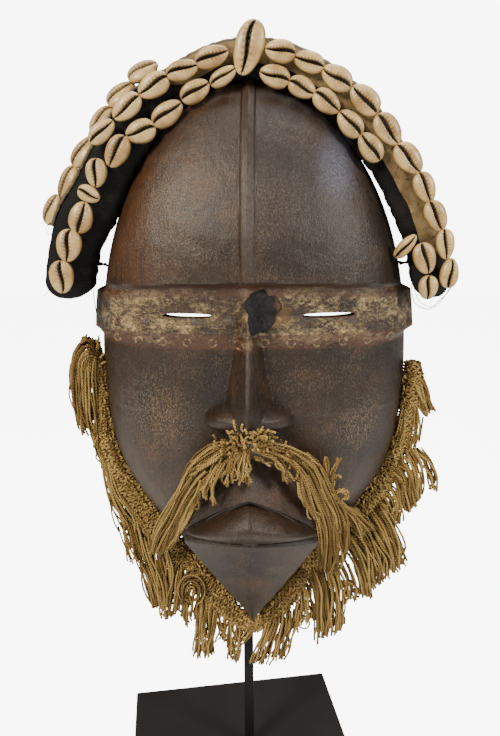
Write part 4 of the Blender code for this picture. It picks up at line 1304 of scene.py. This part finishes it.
def lockLines(count, depth, wander, late, stations, dice, points=11, ragged=0.14):
    # Strands from the root across the stations to ragged tips
    edges = np.array([
        [pictureSpot(ax, ay, forward), pictureSpot(bx, by, forward)]
        for ax, ay, bx, by, forward in stations
    ])
    lines = []
    marks = np.linspace(0, 1, len(stations))
    for i in range(count):
        share = (i + dice.uniform(0, 1)) / count
        drift = dice.gauss(0, wander)
        wave = dice.gauss(0, wander * 0.4) * np.sin(marks * dice.uniform(3, 7) + dice.uniform(0, 6))
        shares = np.clip(share + drift * (marks - 0.5) + wave, -0.06, 1.06)[:, None]
        spots = edges[:, 0] * (1 - shares) + edges[:, 1] * shares
        layer = dice.uniform(-0.5, 0.5)
        bulge = np.sin(np.pi * np.clip(marks * 0.8 + 0.15, 0, 1)) * 0.6 + 0.4
        spots[:, 1] += (layer * bulge + dice.gauss(0, 0.08) * marks) * depth * mm
        line = smoothLine(spots, 40)
        first = round(39 * late * dice.random() ** 1.3 * 0.8)
        last = round(39 * (1 - ragged * dice.random() ** 1.5))
        last = max(last, first + 8)
        line = smoothLine(line[first : last + 1], points)
        t = np.linspace(0, 1, points)[:, None]
        sway = np.array([dice.gauss(0, 1), dice.gauss(0, 0.7), dice.gauss(0, 0.6)]) * 1.5 * mm
        line = line + np.sin(t * dice.uniform(4, 10) + dice.uniform(0, 6)) * t * sway
        widths = np.full(points, dice.uniform(0.82, 1.15))
        widths[-1] *= 1.15
        lines.append((line, widths))
    return lines


def offTheWood(lines, clear):
    # Lifts strands that would run into the wood
    for line, _ in lines:
        across = (line[:, 0] - mask["aside"]) / mm
        up = (line[:, 2] - mask["chin"]) / mm
        forward = (mask["rim"] - line[:, 1]) / mm
        wooden = woodDepth(across, up)
        need = np.where(wooden > 0, wooden + clear, 0)
        line[:, 1] = mask["rim"] - np.maximum(forward, need) * mm
    return lines


def braidStations(side):
    rows = []
    for ax, ay, bx, by in braid[side]:
        forward = braid["forward"]
        rows.append((*pictureSpot(ax, ay, forward), *pictureSpot(bx, by, forward)))
    rows = smoothLine(np.array(rows), 120)
    return rows[:, :3], rows[:, 3:]


def makeBraid(look, shade, dice):
    # The knotted band: cords that wave over and under each other round a darker core, painted shade in the
    # gaps between the knots
    inner, outer = braidStations("left")
    more, beyond = braidStations("right")
    inner, outer = np.concatenate([inner, more[1:]]), np.concatenate([outer, beyond[1:]])
    middle, half = (inner + outer) / 2, (outer - inner) / 2
    turns = np.linspace(0, 2 * math.pi, 12, endpoint=False)
    ends = np.minimum(np.arange(len(middle)), np.arange(len(middle))[::-1])
    taper = np.sqrt(np.clip((ends + 0.4) / 6, 0.05, 1))[:, None, None]
    rings = middle[:, None] + taper * 0.9 * half[:, None] * np.cos(turns)[None, :, None]
    rings[:, :, 1] += (taper[:, :, 0] * np.sin(turns)[None]) * braid["depth"] / 2 * 0.94 * mm
    core = wrapTube("braidCore", rings)
    core.data.shade_smooth()
    length = np.concatenate([[0], np.cumsum(np.linalg.norm(np.diff(middle, axis=0), axis=1))])
    at = np.arange(0.8 * mm, length[-1] - 0.8 * mm, 0.75 * mm)
    centre = np.stack([np.interp(at, length, middle[:, i]) for i in range(3)], 1)
    reach = np.stack([np.interp(at, length, half[:, i]) for i in range(3)], 1)
    lines = []
    lanes = braid["lanes"]
    for lane in range(lanes):
        period = dice.uniform(3.6, 4.4) * mm
        phase = dice.uniform(0, 6.3)
        beat = 2 * math.pi * at / period + phase + 0.9 * np.sin(at / (11 * mm) + lane)
        around = 2 * math.pi * lane / lanes + 0.33 * np.sin(beat)
        out = 0.96 + 0.15 * np.cos(beat * 2) + 0.05 * np.sin(at / (2.3 * mm) + lane * 2)
        places = centre + reach * (np.cos(around) * out)[:, None]
        places[:, 1] -= np.sin(around) * out * braid["depth"] / 2 * mm
        widths = 1.05 + 0.2 * np.sin(beat * 2 + 1)
        for first in range(0, len(at) - 10, 60):
            part = slice(first, min(first + 62, len(at)))
            lines.append((places[part], widths[part]))
    for _ in range(braid["stitches"]):
        i = dice.randrange(len(at) - 4)
        around = dice.uniform(-0.3, math.pi + 0.3)
        spot = centre[i] + reach[i] * math.cos(around)
        spot[1] -= math.sin(around) * braid["depth"] / 2 * mm
        slant = reach[i] / np.linalg.norm(reach[i]) * dice.uniform(-1.2, 1.2) * mm
        forwards = (centre[i + 1] - centre[i]) / (0.75 * mm) * dice.uniform(0.9, 1.6) * mm
        top = spot + np.array([0, -dice.uniform(0.5, 1.1) * mm * math.sin(around), 0])
        top = top + reach[i] * 0.12 * math.cos(around)
        lines.append((smoothLine([spot - forwards - slant, top, spot + forwards + slant], 7), 1.05))
    knots = addLines("braidKnots", lines, cords["knot"], dice)
    knots.data.materials.append(look)
    core.data.materials.append(shade)
    core.data.attributes.new("tone", "FLOAT", "POINT")
    select(knots)
    core.select_set(True)
    bpy.context.view_layer.objects.active = knots
    bpy.ops.object.join()
    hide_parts("beard_braid")
    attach(knots, "root")
    return knots


def tuftLines(count, stations, length, dice):
    # Short stubs that stick out of a patch in many directions
    edges = [
        (pictureSpot(ax, ay, forward), pictureSpot(bx, by, forward))
        for ax, ay, bx, by, forward in stations
    ]
    lines = []
    for _ in range(count):
        u, v = dice.random(), dice.random()
        top = edges[0][0].lerp(edges[0][1], u)
        foot = edges[1][0].lerp(edges[1][1], u)
        start = np.array(top.lerp(foot, v))
        way = np.array([dice.gauss(0, 0.6), -abs(dice.gauss(0.5, 0.3)), dice.gauss(0.1, 0.7)])
        way = way / np.linalg.norm(way) * length * dice.uniform(0.35, 0.7) * mm
        bend = np.array([dice.gauss(0, 1), dice.gauss(0, 0.5), -abs(dice.gauss(0, 1))]) * 0.8 * mm
        lines.append((smoothLine([start, start + way * 0.5 + bend, start + way], 6), 1.05))
    return lines


def swirlLines(dice):
    # The ring of strands that curls on the left of the chin
    lines = []
    turns = swirl["turns"]
    for k in range(swirl["strands"]):
        radius = swirl["first"] + (k % turns) * swirl["spacing"] + dice.uniform(-0.8, 0.8)
        middleX = swirl["middle"][0] + dice.uniform(-1.5, 1.5)
        middleY = swirl["middle"][1] + dice.uniform(-2, 2)
        begin = swirl["begins"] + dice.uniform(-25, 25)
        end = begin - dice.uniform(220, 330)
        spots = []
        for angle in np.radians(np.linspace(begin, end, 13)):
            x = middleX + radius * math.cos(angle)
            y = middleY - radius * 1.15 * math.sin(angle)
            spots.append(pictureSpot(x, y, 12 + dice.uniform(-0.5, 0.5) + (k // turns) * 1.3))
        lines.append((np.array(spots), dice.uniform(0.85, 1.1)))
    return lines


def strayLines(routes):
    return [(smoothLine([tuple(pictureSpot(*spot)) for spot in route], 14), 1.0) for route in routes]


def makeBeard(look, dice):
    for side, nodes in (("Left", "beard_fringe_left"), ("Right", "beard_fringe_right")):
        lines = []
        for *lock, stations in beardLocks:
            onLeft = stations[0][0] < 257 and stations[-1][2] < 245
            if onLeft == (side == "Left"):
                lines += lockLines(*lock, stations, dice)
        lines += strayLines([way for way in beardStrays if (way[0][0] < 257) == (side == "Left")])
        if side == "Left":
            lines += swirlLines(dice)
            lines += tuftLines(*beardTuft, dice)
        fringe = addLines("beardFringe" + side, lines, cords["thickness"], dice)
        finishPiece(fringe, look, "cord", nodes)


def makeMoustache(look, dice):
    lines = []
    for *lock, stations in moustacheLocks:
        lines += lockLines(*lock, stations, dice)
    for tuft in moustacheTufts:
        lines += tuftLines(*tuft, dice)
    lines = offTheWood(lines, 1.2)
    thing = addLines("moustacheCords", lines, cords["thickness"], dice)
    return finishPiece(thing, look, "cord", "moustache")


# Loose black threads and ties

threadRoutes = [
    (0.9, [(93, 290, 14), (95, 304, 14), (97, 318, 14)]),
    (0.5, [(50, 286, 14), (47, 293, 14), (43, 297, 14)]),
    (0.9, [(411, 284, 14), (416, 304, 12), (430, 309, 12), (438, 302, 12), (452, 286, 14), (455, 278, 14)]),
    (0.7, [(414, 288, 15), (420, 302, 13), (434, 307, 13), (446, 294, 14), (453, 280, 14)]),
    (0.7, [(52, 222, 16), (46, 228, 16), (50, 235, 16), (54, 230, 16), (52, 222, 16)]),
]


def makeThreads(look, dice):
    # Loose ends of the black sewing thread, and the ties to the wood
    lines = []
    for thickness, route in threadRoutes:
        spots = [pictureSpot(*spot) for spot in route]
        lines.append((smoothLine([tuple(spot) for spot in spots], 16), thickness))
    loose = addLines("looseThreads", lines, 0.55 * mm, dice)
    finishPiece(loose, look, "thread")
    for side, angle in (("left", -79), ("right", 79)):
        forward = (roll["front"] - roll["back"]) / 2
        inner = float(rollSpan(angle)[0])
        rim = float(rimRadius(angle))
        lines = []
        for k in range(5):
            leaning = (k - 2) * 0.9
            fromWood = onArch(angle + leaning * 0.3, rim - 1.5, forward + leaning)
            toRoll = onArch(angle - leaning * 0.5, inner + 2, forward + leaning * 1.4)
            sag = (fromWood + toRoll) / 2 - np.array([0, 0, 0.5 * mm])
            lines.append((smoothLine([fromWood, sag, toRoll], 8), 1.0))
        tie = addLines("tie" + side.capitalize(), lines, 1.1 * mm, dice)
        finishPiece(tie, look, "thread", "lashing_" + side)


# Floor and lights: a plain studio that stays white behind the part

studio = {
    "floor": 6,
    "floorGlow": 7.2,
    "aim": (0, -0.03, 0.30),
    "ambient": 0.38,
    "seenAmbient": 8,
    "glossShare": 0.25,
    "lights": [
        ("key", (-0.7, -0.9, 1.0), 0.4, 25, (1.0, 0.93, 0.80)),
        ("fill", (0.9, -0.6, 0.8), 0.35, 12, (1.0, 0.97, 0.92)),
        ("top", (0.1, 0.1, 1.3), 0.7, 11, (1, 1, 1)),
    ],
}


def addFloor():
    bpy.ops.mesh.primitive_plane_add(size=studio["floor"], location=(0, 0, 0))
    floor = bpy.context.object
    floor.name = "floor"
    look = Look("paleFloor")
    tone = look.noise(look.spot(), 3, 2)
    colour = look.mix(tone, (0.86, 0.86, 0.86, 1), (0.9, 0.9, 0.9, 1))
    seen = look.make("LightPath", {}, output="Is Camera Ray")
    glow = look.mix(seen, (0, 0, 0, 1), (1, 1, 1, 1))
    look.feed(look.shader.inputs["Emission Color"], glow)
    floor.data.materials.append(look.finish(colour, 0.9, Emission_Strength=studio["floorGlow"]))


def addLight(name, spot, size, power, colour):
    data = bpy.data.lights.new(name, "AREA")
    data.shape = "DISK"
    data.size = size
    data.energy = power
    data.color = colour
    thing = bpy.data.objects.new(name, data)
    bpy.context.scene.collection.objects.link(thing)
    thing.location = spot
    way = Vector(studio["aim"]) - Vector(spot)
    thing.rotation_euler = way.to_track_quat("-Z", "Y").to_euler()


def addWorld():
    # White where the camera sees it, and much dimmer as light and in gloss
    world = bpy.data.worlds.new("studio")
    world.use_nodes = True
    nodes, links = world.node_tree.nodes, world.node_tree.links
    back = nodes["Background"]
    back.inputs["Color"].default_value = (1, 1, 1, 1)
    path = nodes.new("ShaderNodeLightPath")
    product = nodes.new("ShaderNodeMath")
    product.operation = "MULTIPLY"
    rays = (
        ("Is Camera Ray", studio["ambient"], studio["seenAmbient"]),
        ("Is Glossy Ray", 1, studio["glossShare"]),
    )
    for i, (ray, low, high) in enumerate(rays):
        strength = nodes.new("ShaderNodeMapRange")
        strength.inputs["To Min"].default_value = low
        strength.inputs["To Max"].default_value = high
        links.new(path.outputs[ray], strength.inputs["Value"])
        links.new(strength.outputs["Result"], product.inputs[i])
    links.new(product.outputs[0], back.inputs["Strength"])
    bpy.context.scene.world = world


def main():
    addCamera()
    dice = random.Random(517)
    print("materials")
    cord = cordLook("tanCord", *cords["paint"])
    shade = cordLook("cordShade", *cords["corePaint"])
    black = threadLook()
    print("mask")
    makeMask(woodLook(), hollowLook())
    makeResin(resinLook())
    print("headdress")
    makeRoll(clothLook())
    makeStrip(stripLook())
    shell = shellLook()
    for node in sorted(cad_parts):
        if node.startswith("cowrie_"):
            makeShell(node, shell, dice)
    makeThreads(black, dice)
    print("beard")
    makeBraid(cord, shade, dice)
    makeBeard(cord, dice)
    makeMoustache(cord, dice)
    print("stand")
    for node, look in (("stand_base", baseLook()), ("stand_post", steelLook())):
        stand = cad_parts[node]
        stand.data.materials.clear()
        stand.data.materials.append(look)
    addFloor()
    addWorld()
    for light in studio["lights"]:
        addLight(*light)


main()
